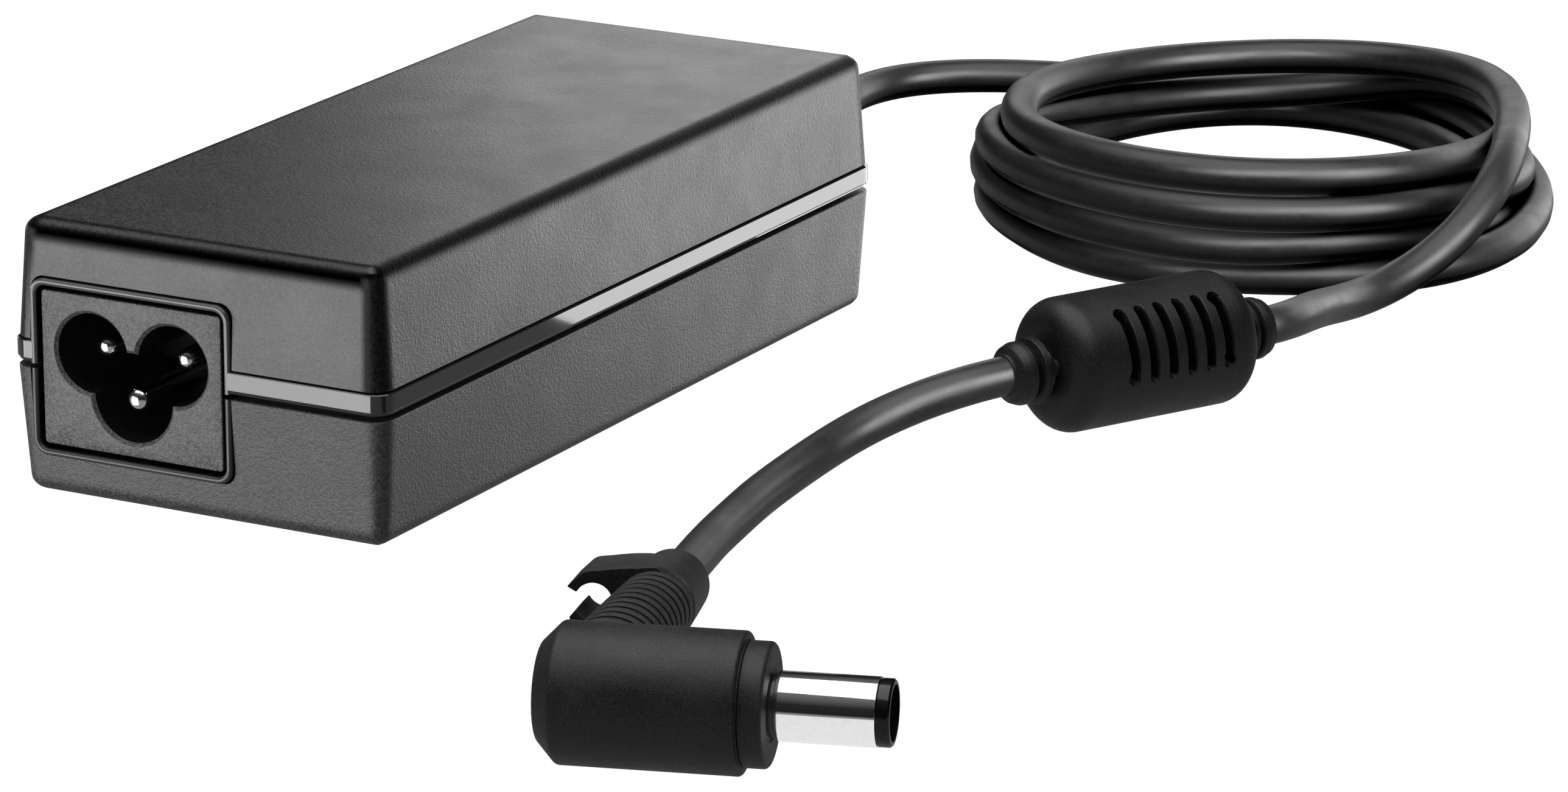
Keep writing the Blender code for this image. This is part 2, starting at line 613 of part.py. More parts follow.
def tail_height(t):
    """Height of the tail's axis this far from the plug's axis."""
    return float(
        np.interp(t, (7, 12, 16.2, 20.4, 24.6, 28.8, 33, 38, 43.4), (6.4, 6.2, 6.05, 5.85, 5.5, 5.05, 4.55, 4.2, 3.92))
    )


def tail_radius(t):
    """Radius of the tail over its ribs."""
    return float(np.interp(t, (7, 12, 16.2, 20.4, 24.6, 33, 43), (4.6, 4.5, 4.25, 4.05, 3.95, 3.88, 3.58)))


def tail_point(t):
    p = TAIL_START + TAIL_DIR * t
    return Vector((p.x, p.y, tail_height(t)))


COLLAR_T0, TAIL_END, PITCH, GROOVES = 33.0, 43.3, 2.1, 12
ts, rs = [7.2], [4.6]
for k in range(GROOVES - 1, -1, -1):
    t = COLLAR_T0 - PITCH * k
    r = tail_radius(t)
    ts += [t - 0.55, t - 0.3, t + 0.1, t + 0.35]
    rs += [r, r - 0.5, r - 0.5, r]
ts += [TAIL_END - 0.3, TAIL_END]
rs += [3.58, 3.3]
tail = tube("plug_strain_relief", [tail_point(t) for t in ts], 3.0, ((0, 0, 0), 0), radii=rs, sides=3)
tail = as_mesh(tail, RUBBER)

# the clip: a C-shaped channel on the tail's collar that snaps round one strand of the lead
CLIP_T0, CLIP_T1 = 33.4, 40.4
clip_a, clip_h, clip_r = 6.42, 0.0, 1.85


def arc(radius, start, end, n):
    """Points on an arc of the clip; x runs away from the lead, y up."""
    return [
        (clip_a + radius * math.cos(math.radians(a)), clip_h + radius * math.sin(math.radians(a)))
        for a in np.linspace(start, end, n)
    ]


outline = (
    [(3.0, 3.7), (3.9, 3.59), (5.7, 3.29), (7.1, 3.11), (7.62, 2.92), (8.0, 2.54), (9.04, 1.48)]
    + arc(clip_r, 28, 330, 17)
    + arc(3.0, 325, 215, 7)
    + [(3.0, -1.75)]
)
data = bpy.data.curves.new("cord_clip", "CURVE")
data.dimensions = "2D"
data.fill_mode = "BOTH"
data.extrude = (CLIP_T1 - CLIP_T0) / 2 * MM
spline = data.splines.new("POLY")
spline.points.add(len(outline) - 1)
for i, (a, h) in enumerate(outline):
    spline.points[i].co = (a * MM, h * MM, 0.0, 1.0)
spline.use_cyclic_u = True
clip = bpy.data.objects.new("cord_clip", data)
PARTS.objects.link(clip)
slope = (tail_height(CLIP_T1) - tail_height(CLIP_T0)) / (CLIP_T1 - CLIP_T0)
tail_axis = Vector((TAIL_DIR.x, TAIL_DIR.y, slope)).normalized()
away = -PLUG_DIR
up = away.cross(tail_axis)
up = up if up.z > 0 else -up
frame_rows = Matrix((away, up, away.cross(up))).transposed().to_4x4()
clip.matrix_world = Matrix.Translation(tail_point((CLIP_T0 + CLIP_T1) / 2) * MM) @ frame_rows
clip = as_mesh(clip, RUBBER)
boolean(clip, rod("clip_seat", 3.88 + GAP, tail_point(31.0), tail_point(43.2), sides=32))
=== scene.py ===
import json
import math

import bmesh
import bpy
import numpy as np
from mathutils import Matrix, Vector


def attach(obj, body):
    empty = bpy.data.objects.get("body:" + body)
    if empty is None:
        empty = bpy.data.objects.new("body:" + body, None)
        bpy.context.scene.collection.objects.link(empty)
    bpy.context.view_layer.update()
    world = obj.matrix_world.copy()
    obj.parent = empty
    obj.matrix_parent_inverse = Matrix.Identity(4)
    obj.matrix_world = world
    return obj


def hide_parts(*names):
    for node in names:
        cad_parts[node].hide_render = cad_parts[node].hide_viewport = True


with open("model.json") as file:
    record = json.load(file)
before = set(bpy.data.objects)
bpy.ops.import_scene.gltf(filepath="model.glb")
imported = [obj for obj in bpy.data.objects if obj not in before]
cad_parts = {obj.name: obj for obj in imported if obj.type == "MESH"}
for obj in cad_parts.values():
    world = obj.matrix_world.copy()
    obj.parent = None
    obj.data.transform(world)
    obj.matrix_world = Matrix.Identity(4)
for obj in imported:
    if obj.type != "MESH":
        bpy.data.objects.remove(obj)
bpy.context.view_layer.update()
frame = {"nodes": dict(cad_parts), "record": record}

MM = 0.001

# ================================================================ camera
AZ, EL, ROLL = math.radians(28.43), math.radians(16.69), math.radians(0.092)
TARGET = Vector((31.315, 16.954, -0.41)) * MM
DISTANCE = 752.5 * MM
back = Vector((math.cos(EL) * math.sin(AZ), -math.cos(EL) * math.cos(AZ), math.sin(EL)))
right = Vector((math.cos(AZ), math.sin(AZ), 0.0))
up = back.cross(right)
right, up = right * math.cos(ROLL) + up * math.sin(ROLL), up * math.cos(ROLL) - right * math.sin(ROLL)
cam_data = bpy.data.cameras.new("camera")
cam_data.sensor_width = 36.0
cam_data.lens = 155.26
cam_data.clip_start, cam_data.clip_end = 0.01, 20.0
cam = bpy.data.objects.new("camera", cam_data)
bpy.context.scene.collection.objects.link(cam)
cam.matrix_world = Matrix.Translation(TARGET + back * DISTANCE) @ Matrix((right, up, back)).transposed().to_4x4()
bpy.context.scene.camera = cam
bpy.context.scene.view_settings.view_transform = "Standard"


# ================================================================ materials
class Nodes:
    """A small helper round a Principled material's node tree."""

    def __init__(self, name, colour, rough, metal=0.0, spec=0.5, coat=0.0, coat_rough=0.1):
        self.mat = bpy.data.materials.new(name)
        self.mat.use_nodes = True
        self.tree = self.mat.node_tree
        self.shader = self.tree.nodes["Principled BSDF"]
        s = self.shader.inputs
        s["Base Color"].default_value = (*colour, 1.0)
        s["Roughness"].default_value = rough
        s["Metallic"].default_value = metal
        s["Specular IOR Level"].default_value = spec
        s["Coat Weight"].default_value = coat
        s["Coat Roughness"].default_value = coat_rough
        self.colour, self.rough = colour, rough
        self.coord = self.tree.nodes.new("ShaderNodeTexCoord")

    def link(self, a, b):
        self.tree.links.new(a, b)

    def noise(self, scale, detail=3.0, rough=0.55, stretch=None):
        node = self.tree.nodes.new("ShaderNodeTexNoise")
        node.inputs["Scale"].default_value = scale
        node.inputs["Detail"].default_value = detail
        node.inputs["Roughness"].default_value = rough
        if stretch:
            mapping = self.tree.nodes.new("ShaderNodeMapping")
            mapping.inputs["Scale"].default_value = stretch
            self.link(self.coord.outputs["Object"], mapping.inputs["Vector"])
            self.link(mapping.outputs["Vector"], node.inputs["Vector"])
        else:
            self.link(self.coord.outputs["Object"], node.inputs["Vector"])
        return node.outputs["Fac"]

    def voronoi(self, scale, randomness=1.0):
        node = self.tree.nodes.new("ShaderNodeTexVoronoi")
        node.inputs["Scale"].default_value = scale
        node.inputs["Randomness"].default_value = randomness
        self.link(self.coord.outputs["Object"], node.inputs["Vector"])
        return node.outputs["Distance"]

    def ramp(self, value, low, high, out_low, out_high):
        node = self.tree.nodes.new("ShaderNodeMapRange")
        node.clamp = True
        node.inputs["From Min"].default_value = low
        node.inputs["From Max"].default_value = high
        node.inputs["To Min"].default_value = out_low
        node.inputs["To Max"].default_value = out_high
        self.link(value, node.inputs["Value"])
        return node.outputs["Result"]

    def math(self, op, a, b):
        node = self.tree.nodes.new("ShaderNodeMath")
        node.operation = op
        for i, x in enumerate((a, b)):
            if isinstance(x, (int, float)):
                node.inputs[i].default_value = x
            else:
                self.link(x, node.inputs[i])
        return node.outputs[0]

    def tint(self, factor, dark, light):
        """Base colour between two shades of this colour by a factor."""
        node = self.tree.nodes.new("ShaderNodeMix")
        node.data_type = "RGBA"
        node.inputs["A"].default_value = (*[c * dark for c in self.colour], 1.0)
        node.inputs["B"].default_value = (*[min(1.0, c * light) for c in self.colour], 1.0)
        self.link(factor, node.inputs["Factor"])
        return node.outputs["Result"]

    def set_colour(self, socket):
        self.link(socket, self.shader.inputs["Base Color"])

    def set_rough(self, socket):
        self.link(socket, self.shader.inputs["Roughness"])

    def bump(self, height, strength, distance):
        node = self.tree.nodes.new("ShaderNodeBump")
        node.inputs["Strength"].default_value = strength
        node.inputs["Distance"].default_value = distance
        self.link(height, node.inputs["Height"])
        if self.shader.inputs["Normal"].is_linked:
            before = self.shader.inputs["Normal"].links[0].from_socket
            self.link(before, node.inputs["Normal"])
        self.link(node.outputs["Normal"], self.shader.inputs["Normal"])

    def attribute(self, name):
        node = self.tree.nodes.new("ShaderNodeAttribute")
        node.attribute_name = name
        return node.outputs["Fac"]


def case_plastic(name, colour, rough, grain=4600.0, depth=0.00009, strength=0.9, edges=True, speck=(0.4, 1.8), spec=0.5):
    """Spark-textured moulded plastic: a grain of two sizes in colour, gloss and height. Rounded edges get painted shade
    in the colour and less specular, following the flat mark.
    """
    m = Nodes(name, colour, rough, spec=spec)
    fine = m.math("ADD", m.math("MULTIPLY", m.noise(grain, 2.0, 0.6), 0.5), m.math("MULTIPLY", m.noise(grain * 0.55, 2.0, 0.6), 0.5))
    cloud = m.noise(140.0, 2.0)
    grainy = m.ramp(fine, 0.42, 0.6, 0.0, 1.0)
    shade = m.tint(grainy, *speck)
    rough_out = m.ramp(fine, 0.3, 0.7, rough - 0.06, rough + 0.06)
    if edges:
        # the attribute is 1 on flat faces and falls towards 0 on the rounded edges; there it paints shade into the
        # colour and turns the specular down
        flat = m.attribute("flat")
        mix = m.tree.nodes.new("ShaderNodeMix")
        mix.data_type = "RGBA"
        mix.inputs["A"].default_value = (*[c * 0.01 for c in colour], 1.0)
        m.link(shade, mix.inputs["B"])
        m.link(flat, mix.inputs["Factor"])
        shade = mix.outputs["Result"]
        m.link(m.ramp(flat, 0.0, 1.0, 0.0, spec), m.shader.inputs["Specular IOR Level"])
    m.set_colour(shade)
    m.set_rough(m.math("ADD", rough_out, m.ramp(cloud, 0.3, 0.7, -0.03, 0.03)))
    m.bump(fine, strength, depth)
    return m.mat


def rubber(name, colour, rough, grain=2600.0, depth=0.00003, strength=0.4, speck=(0.7, 1.4), spec=0.5):
    """Matte moulded rubber with a soft grain and faint cloudy wear."""
    m = Nodes(name, colour, rough, spec=spec)
    fine = m.noise(grain, 2.0)
    cloud = m.noise(220.0, 3.0)
    mixed = m.math("ADD", m.math("MULTIPLY", fine, 0.8), m.math("MULTIPLY", cloud, 0.2))
    m.set_colour(m.tint(m.ramp(mixed, 0.4, 0.61, 0.0, 1.0), *speck))
    m.set_rough(m.ramp(cloud, 0.3, 0.7, rough - 0.05, rough + 0.07))
    m.bump(fine, strength, depth)
    return m.mat


def metal(name, colour, rough, grain=1800.0, strength=0.05):
    m = Nodes(name, colour, rough, metal=1.0)
    fine = m.noise(grain, 2.0)
    m.set_colour(m.tint(fine, 0.9, 1.06))
    m.set_rough(m.ramp(m.noise(400.0, 3.0), 0.3, 0.7, max(0.02, rough - 0.03), rough + 0.05))
    m.bump(fine, strength, 0.00001)
    return m.mat


def gloss(name, colour, rough, spec=0.5, coat=0.0):
    m = Nodes(name, colour, rough, spec=spec, coat=coat, coat_rough=0.02)
    fine = m.noise(900.0, 3.0)
    m.set_colour(m.tint(fine, 0.8, 1.2))
    m.set_rough(m.ramp(m.noise(160.0, 3.0), 0.3, 0.7, max(0.02, rough * 0.8), rough * 1.3))
    m.bump(m.noise(70.0, 2.0), 0.03, 0.00002)
    return m.mat


CASE_UP = case_plastic("case_textured_upper", (0.03, 0.03, 0.0302), 0.42, grain=4600.0)
CASE_LOW = case_plastic("case_textured_lower", (0.026, 0.026, 0.0262), 0.44, grain=5000.0)
INLET = case_plastic("inlet_textured", (0.045, 0.045, 0.0452), 0.48, grain=6400.0, edges=False, speck=(0.25, 2.1))
POLISHED = gloss("polished_trim", (0.015, 0.015, 0.0152), 0.03, spec=0.6, coat=0.3)
RIM_LOW = gloss("lower_rim_satin", (0.022, 0.022, 0.0222), 0.3)
CORD = rubber("cord_jacket", (0.006, 0.006, 0.0061), 0.38, grain=2600.0, depth=0.00002, strength=0.3, speck=(0.75, 1.3), spec=0.6)
MOULD = rubber("overmould_matte", (0.018, 0.018, 0.0182), 0.46, grain=5200.0, depth=0.00005, strength=0.5, speck=(0.5, 1.6))
PLUGM = rubber("plug_moulded_matte", (0.025, 0.025, 0.0252), 0.48, grain=8000.0, depth=0.00005, strength=0.6, speck=(0.35, 1.9), spec=0.47)
CHROME = metal("barrel_chrome", (0.86, 0.86, 0.86), 0.06)
NICKEL = metal("contact_nickel", (0.8, 0.79, 0.77), 0.12)
TIP = gloss("tip_black", (0.006, 0.006, 0.006), 0.14)
SHADE = rubber("overmould_shaded", (0.006, 0.006, 0.0061), 0.6, grain=4200.0, depth=0.00006, strength=0.6, speck=(0.5, 1.7), spec=0.2)
# a near-black colour for recesses, slots, grooves and gaps: painted shade
PAINTED_SHADE = gloss("painted_shade_black", (0.0025, 0.0025, 0.0025), 0.55, spec=0.15)


def shaded_between(mat, spec, start, end):
    """Paints shade into a material's colour and specular level on undersides and where its own strands close over it,
    beyond a place along Y.
    """
    tree = mat.node_tree
    m = Nodes.__new__(Nodes)
    m.mat, m.tree, m.shader = mat, tree, tree.nodes["Principled BSDF"]
    place = tree.nodes.new("ShaderNodeTexCoord")
    apart, facing = tree.nodes.new("ShaderNodeSeparateXYZ"), tree.nodes.new("ShaderNodeSeparateXYZ")
    m.link(place.outputs["Object"], apart.inputs["Vector"])
    m.link(tree.nodes.new("ShaderNodeNewGeometry").outputs["Normal"], facing.inputs["Vector"])
    hollow = tree.nodes.new("ShaderNodeAmbientOcclusion")
    hollow.samples, hollow.only_local = 10, True
    hollow.inputs["Distance"].default_value = 0.007
    under = m.ramp(facing.outputs["Z"], -0.42, 0.16, 0.01, 1.0)
    open_air = m.ramp(hollow.outputs["AO"], 0.5, 0.86, 0.0, 1.0)
    reach = m.ramp(apart.outputs["Y"], start, end, 0.0, 1.0)
    keep = m.math("SUBTRACT", 1.0, m.math("MULTIPLY", reach, m.math("SUBTRACT", 1.0, m.math("MULTIPLY", under, open_air))))
    before = m.shader.inputs["Base Color"].links[0].from_socket
    dim = tree.nodes.new("ShaderNodeMix")
    dim.data_type = "RGBA"
    dim.inputs["A"].default_value = (0.0003, 0.0003, 0.0003, 1.0)
    m.link(before, dim.inputs["B"])
    m.link(keep, dim.inputs["Factor"])
    m.set_colour(dim.outputs["Result"])
    # the specular level is turned down along the stretch by the plug
    dull = m.ramp(apart.outputs["Y"], -0.03, 0.0, 0.36 * spec, spec)
    m.link(m.math("MULTIPLY", keep, dull), m.shader.inputs["Specular IOR Level"])


shaded_between(CORD, 0.6, 0.055, 0.08)
BEAD_SATIN = gloss("inlet_bead_satin", (0.05, 0.05, 0.0502), 0.24, spec=0.7)


# ================================================================ mesh helpers (millimetres in, metres out)
def finish_mesh(obj, mat, body="root", node=None, sharp=None):
    """Material, shading, and what the piece stands for."""
    obj.data.materials.clear()
    obj.data.materials.append(mat)
    obj.data.shade_smooth()
    if sharp is not None:
        obj.data.set_sharp_from_angle(angle=math.radians(sharp))
    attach(obj, body)
    if node:
        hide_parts(*([node] if isinstance(node, str) else node))
    return obj


def new_obj(name, verts, faces, flat=None):
    mesh = bpy.data.meshes.new(name)
    mesh.from_pydata([tuple(c * MM for c in v) for v in verts], [], faces)
    if flat is not None:
        attr = mesh.attributes.new("flat", "FLOAT", "POINT")
        attr.data.foreach_set("value", np.asarray(flat, np.float32))
    mesh.update()
    obj = bpy.data.objects.new(name, mesh)
    bpy.context.scene.collection.objects.link(obj)
    return obj


def loft(name, rings, flat=None, wrap=False, caps=(True, True)):
    """Rings of equal length joined by quads. Each end is closed by a fan unless the rings wrap round."""
    rings = [np.asarray(r, float) for r in rings]
    n, m = len(rings), len(rings[0])
    verts = [tuple(p) for r in rings for p in r]
    flats = None if flat is None else [f for row in flat for f in row]
    faces = []
    for i in range(n if wrap else n - 1):
        j = (i + 1) % n
        for k in range(m):
            l = (k + 1) % m
            faces.append((i * m + k, i * m + l, j * m + l, j * m + k))
    if not wrap:
        for end, on in zip((0, n - 1), caps):
            if not on:
                continue
            verts.append(tuple(rings[end].mean(axis=0)))
            if flats is not None:
                flats.append(1.0)
            c = len(verts) - 1
            for k in range(m):
                l = (k + 1) % m
                a, b = end * m + k, end * m + l
                faces.append((c, b, a) if end == 0 else (c, a, b))
    obj = new_obj(name, verts, faces, flats)
    outward(obj)
    return obj


def outward(obj):
    bm = bmesh.new()
    bm.from_mesh(obj.data)
    bmesh.ops.remove_doubles(bm, verts=bm.verts, dist=1e-7)
    bmesh.ops.recalc_face_normals(bm, faces=bm.faces)
    bm.to_mesh(obj.data)
    bm.free()


def fillet(points, radii, n=5):
    """A polyline with its inner corners rounded."""
    points = [np.array(p, float) for p in points]
    out = [points[0]]
    for i in range(1, len(points) - 1):
        p, a, b = points[i], points[i - 1], points[i + 1]
        r = radii[i] if isinstance(radii, (list, tuple)) else radii
        u, v = (a - p) / np.linalg.norm(a - p), (b - p) / np.linalg.norm(b - p)
        cosine = float(np.clip(u @ v, -1, 1))
        half = math.acos(cosine) / 2
        if r <= 0 or half > math.radians(88):
            out.append(p)
            continue
        reach = min(r / math.tan(half), 0.49 * np.linalg.norm(a - p), 0.49 * np.linalg.norm(b - p))
        r = reach * math.tan(half)
        start, end = p + u * reach, p + v * reach
        centre = p + (u + v) / np.linalg.norm(u + v) * (r / math.sin(half))
        for k in range(n + 1):
            t = k / n
            q = start * (1 - t) + end * t - centre
            out.append(centre + q / np.linalg.norm(q) * r)
    out.append(points[-1])
    return out


def frame_of(direction):
    z = np.array(direction, float)
    z /= np.linalg.norm(z)
    x = np.cross([0, 0, 1.0], z)
    x = np.array([1.0, 0, 0]) if np.linalg.norm(x) < 1e-6 else x / np.linalg.norm(x)
    return x, np.cross(z, x), z


def lathe(name, profile, start, direction, steps=64, wrap=False, turn=0.0):
    """(radius, distance) pairs turned round an axis."""
    x, y, z = frame_of(direction)
    angles = np.linspace(0, 2 * math.pi, steps, endpoint=False) + turn
    rings = []
    for r, d in profile:
        r = max(r, 1e-4)
        rings.append([np.array(start) + z * d + r * (x * math.cos(a) + y * math.sin(a)) for a in angles])
    return loft(name, rings, wrap=wrap)


def round_rect(hx, hy, r, n=8):
    """Points round a rectangle with round corners, anticlockwise, and whether each is on a corner."""
    pts, corner = [], []
    r = max(r, 0.02)
    for cx, cy, a0 in ((hx - r, hy - r, 0), (-hx + r, hy - r, 90), (-hx + r, -hy + r, 180), (hx - r, -hy + r, 270)):
        for k in range(n + 1):
            a = math.radians(a0 + 90 * k / n)
            pts.append((cx + r * math.cos(a), cy + r * math.sin(a)))
            corner.append(0.0)
    return pts, corner


def round_rect_held(hx, hy, r, n=8, hold=0.35):
    """round_rect with an extra point on each straight side next to each corner."""
    pts, flat = [], []
    r = max(r, 0.02)
    hold_x, hold_y = min(hold, (hx - r) * 0.5), min(hold, (hy - r) * 0.5)
    for sx, sy, a0 in ((1, 1, 0), (-1, 1, 90), (-1, -1, 180), (1, -1, 270)):
        cx, cy = sx * (hx - r), sy * (hy - r)
        arc = []
        for k in range(n + 1):
            a = math.radians(a0 + 90 * k / n)
            arc.append((cx + r * math.cos(a), cy + r * math.sin(a)))
        first, last = arc[0], arc[-1]
        if a0 in (0, 180):
            before = (first[0], first[1] - sy * hold_y)
            after = (last[0] - sx * hold_x, last[1])
        else:
            before = (first[0] - sx * hold_x, first[1])
            after = (last[0], last[1] - sy * hold_y)
        pts += [before, *arc, after]
        flat += [1.0, *[0.0] * len(arc), 1.0]
    return pts, flat


def box_tool(name, low, high):
    mesh = bpy.data.meshes.new(name)
    bm = bmesh.new()
    bmesh.ops.create_cube(bm, size=1.0)
    low, high = Vector(low), Vector(high)
    bmesh.ops.scale(bm, vec=(high - low) * MM, verts=bm.verts)
    bmesh.ops.translate(bm, vec=(low + high) / 2 * MM, verts=bm.verts)
    bm.to_mesh(mesh)
    bm.free()
    obj = bpy.data.objects.new(name, mesh)
    bpy.context.scene.collection.objects.link(obj)
    return obj


def cut(obj, tools, operation="DIFFERENCE"):
    """Apply booleans with these tools, then remove the tools."""
    for tool in tools:
        mod = obj.modifiers.new("cut", "BOOLEAN")
        mod.operation, mod.solver, mod.object = operation, "EXACT", tool
    bake_modifiers(obj)
    for tool in tools:
        bpy.data.objects.remove(tool, do_unlink=True)
    return obj


def bake_modifiers(obj):
    bpy.context.view_layer.update()
    graph = bpy.context.evaluated_depsgraph_get()
    mesh = bpy.data.meshes.new_from_object(obj.evaluated_get(graph))
    obj.modifiers.clear()
    obj.data = mesh


def soften(obj, width, segments=2, angle=35.0):
    mod = obj.modifiers.new("round", "BEVEL")
    mod.width = width * MM
    mod.segments = segments
    mod.limit_method = "ANGLE"
    mod.angle_limit = math.radians(angle)
    mod.use_clamp_overlap = True
    bake_modifiers(obj)


# ================================================================ the lead
CORD_R = 2.15
bead_a, bead_b = np.array((63.6, 16.48, 7.5)), np.array((75.28, 38.57, 7.5))
bead_dir = (bead_b - bead_a) / np.linalg.norm(bead_b - bead_a)
plug_dir = np.array((0.9524, 0.3050, 0.0))
tail_dir = np.array((-0.3050, 0.9524, 0.0))
tail_start = np.array((72.63, -98.72, 6.85))


TAIL_Z = (
    (7, 12, 16.2, 20.4, 24.6, 28.8, 33, 38, 43, 49.4, 56, 64),
    (6.4, 6.2, 6.05, 5.85, 5.5, 5.05, 4.55, 4.2, 3.95, 3.55, 3.05, 2.3),
)


def tail_point(t):
    p = tail_start + tail_dir * t
    return np.array((p[0], p[1], np.interp(t, *TAIL_Z)))


route = [(0.0, y, 14.2) for y in (53.9, 60.0, 66.0, 72.0, 78.0)]
held = [1] * len(route)
coil_route = [
    (-1.4, 86.0, 12.6), (-6.2, 94.5, 10.1), (-11.1, 103.6, 7.0), (-14.9, 113.2, 4.6), (-18.3, 122.8, 3.0),
    (-21.0, 133.3, 2.3), (-18.7, 143.2, 2.2), (-10.2, 150.3, 2.2), (0.2, 153.9, 2.2), (11.0, 156.1, 2.2),
    (21.7, 158.2, 2.2), (32.7, 159.3, 2.2), (43.6, 158.2, 2.2), (53.8, 154.4, 2.2), (62.2, 147.4, 2.2),
    (69.2, 138.9, 2.2), (74.7, 129.5, 2.2), (78.4, 119.0, 2.2), (80.4, 108.4, 2.2), (79.6, 97.5, 2.3),
    (75.2, 88.4, 2.2), (66.9, 81.9, 2.2), (57.0, 77.6, 2.2), (46.3, 75.7, 2.2), (35.9, 78.9, 2.2),
    (26.9, 85.2, 2.2), (19.4, 93.1, 2.2), (14.1, 102.7, 2.2), (12.3, 113.5, 2.2), (12.8, 124.4, 2.2),
    (15.2, 135.1, 2.2), (20.0, 145.0, 2.2), (28.4, 151.8, 2.2), (39.2, 153.0, 2.2), (49.6, 149.6, 2.2),
    (58.5, 143.3, 2.2), (65.6, 135.0, 2.2), (71.7, 125.9, 2.2), (75.6, 115.8, 2.3), (76.6, 104.8, 3.6),
    (75.0, 93.7, 5.4), (70.6, 83.9, 6.7), (62.4, 76.7, 6.4), (51.8, 74.3, 6.5), (41.0, 75.8, 6.5),
    (31.1, 80.5, 6.5), (22.7, 87.5, 6.5), (16.4, 96.5, 6.5), (12.7, 106.8, 6.5), (11.3, 117.6, 6.4),
    (12.2, 128.6, 6.2), (15.0, 139.1, 6.1), (20.6, 148.5, 5.9), (29.5, 154.7, 5.6), (40.3, 156.1, 5.6),
    (50.7, 152.9, 5.4), (59.6, 146.5, 5.4), (66.8, 138.2, 5.5), (72.5, 128.8, 5.7), (75.9, 118.5, 6.4),
    (76.8, 107.6, 8.0), (76.4, 96.8, 9.3), (73.7, 86.2, 10.2), (66.8, 78.0, 10.7), (56.7, 73.9, 10.8),
    (45.8, 74.1, 10.9), (35.4, 77.6, 10.8), (26.2, 83.6, 10.8), (19.3, 92.0, 10.8), (16.1, 102.4, 10.3),
    (16.6, 113.2, 8.9), (19.0, 123.8, 7.8), (22.9, 134.1, 6.9), (28.8, 143.2, 6.3), (37.7, 149.5, 6.5),
    (48.3, 150.8, 8.4), (58.5, 147.2, 9.5), (66.3, 139.6, 9.6), (71.2, 129.8, 9.7), (73.9, 119.2, 10.5),
    (75.5, 108.5, 11.8), (75.6, 97.6, 13.05), (73.1, 87.0, 14.3), (66.2, 78.7, 14.85), (56.2, 74.5, 14.95),
    (45.3, 74.4, 14.95), (35.1, 78.4, 14.75), (26.9, 85.6, 14.4), (21.4, 95.1, 14.0), (18.1, 105.5, 13.6),
    (18.4, 116.4, 12.9), (21.2, 126.9, 12.3), (27.1, 136.2, 11.9), (35.7, 142.8, 11.9), (46.3, 145.3, 12.3),
    (56.8, 142.6, 13.0), (65.6, 136.1, 13.6), (71.6, 127.0, 14.1), (76.5, 117.2, 14.5), (80.3, 106.9, 14.1),
    (83.2, 96.4, 12.8), (82.3, 87.6, 8.0), (78.9, 80.4, 4.4), (76.6, 72.5, 3.4), (76.6, 63.8, 4.6), (77.7, 55.5, 6.2),
]
route += coil_route
held += [0] * len(coil_route)
for d in (31.5, 27.0, 18.0, 8.0, -1.0, -6.0):
    route.append(tuple(bead_a + bead_dir * d))
    held.append(1)
for p in ((58.3, 6.6, 7.1), (55.9, 3.9, 6.3), (53.6, 1.7, 5.3), (51.8, -1.4, 4.4), (50.7, -5.4, 3.6), (50.1, -10.8, 2.8),
          (49.9, -16.4, 2.3), (50.3, -21.5, 2.2), (51.1, -26.8, 2.2), (52.2, -32.2, 2.2)):
    route.append(p)
    held.append(0)
for t in (64.0, 56.0, 49.4, 42.0, 35.0, 28.0, 20.0, 12.0):
    route.append(tuple(tail_point(t)))
    held.append(1 if t < 60 else 0)


def spline_through(knots, spacing, marks=None):
    """Points evenly spaced on the natural cubic spline through the knots."""
    knots = np.array(knots, float)
    t = np.concatenate([[0], np.cumsum(np.sqrt(np.linalg.norm(np.diff(knots, axis=0), axis=1)))])
    n, h = len(t), np.diff(t)
    lhs, rhs = np.eye(n), np.zeros_like(knots)
    for i in range(1, n - 1):
        lhs[i, i - 1:i + 2] = h[i - 1], 2 * (h[i - 1] + h[i]), h[i]
        rhs[i] = 6 * ((knots[i + 1] - knots[i]) / h[i] - (knots[i] - knots[i - 1]) / h[i - 1])
    bend = np.linalg.solve(lhs, rhs)
    fine, mark = [], []
    for i in range(n - 1):
        for s in np.linspace(0, h[i], 30, endpoint=i == n - 2):
            r = h[i] - s
            fine.append((bend[i] * r**3 + bend[i + 1] * s**3) / (6 * h[i])
                        + (knots[i] / h[i] - bend[i] * h[i] / 6) * r
                        + (knots[i + 1] / h[i] - bend[i + 1] * h[i] / 6) * s)
            mark.append(0 if marks is None else min(marks[i], marks[i + 1]))
    fine = np.array(fine)
    run = np.concatenate([[0], np.cumsum(np.linalg.norm(np.diff(fine, axis=0), axis=1))])
    wanted = np.linspace(0, run[-1], round(run[-1] / spacing) + 1)
    even = np.stack([np.interp(wanted, run, fine[:, k]) for k in range(3)], axis=1)
    return even, np.array(mark)[np.clip(np.searchsorted(run, wanted), 0, len(mark) - 1)]


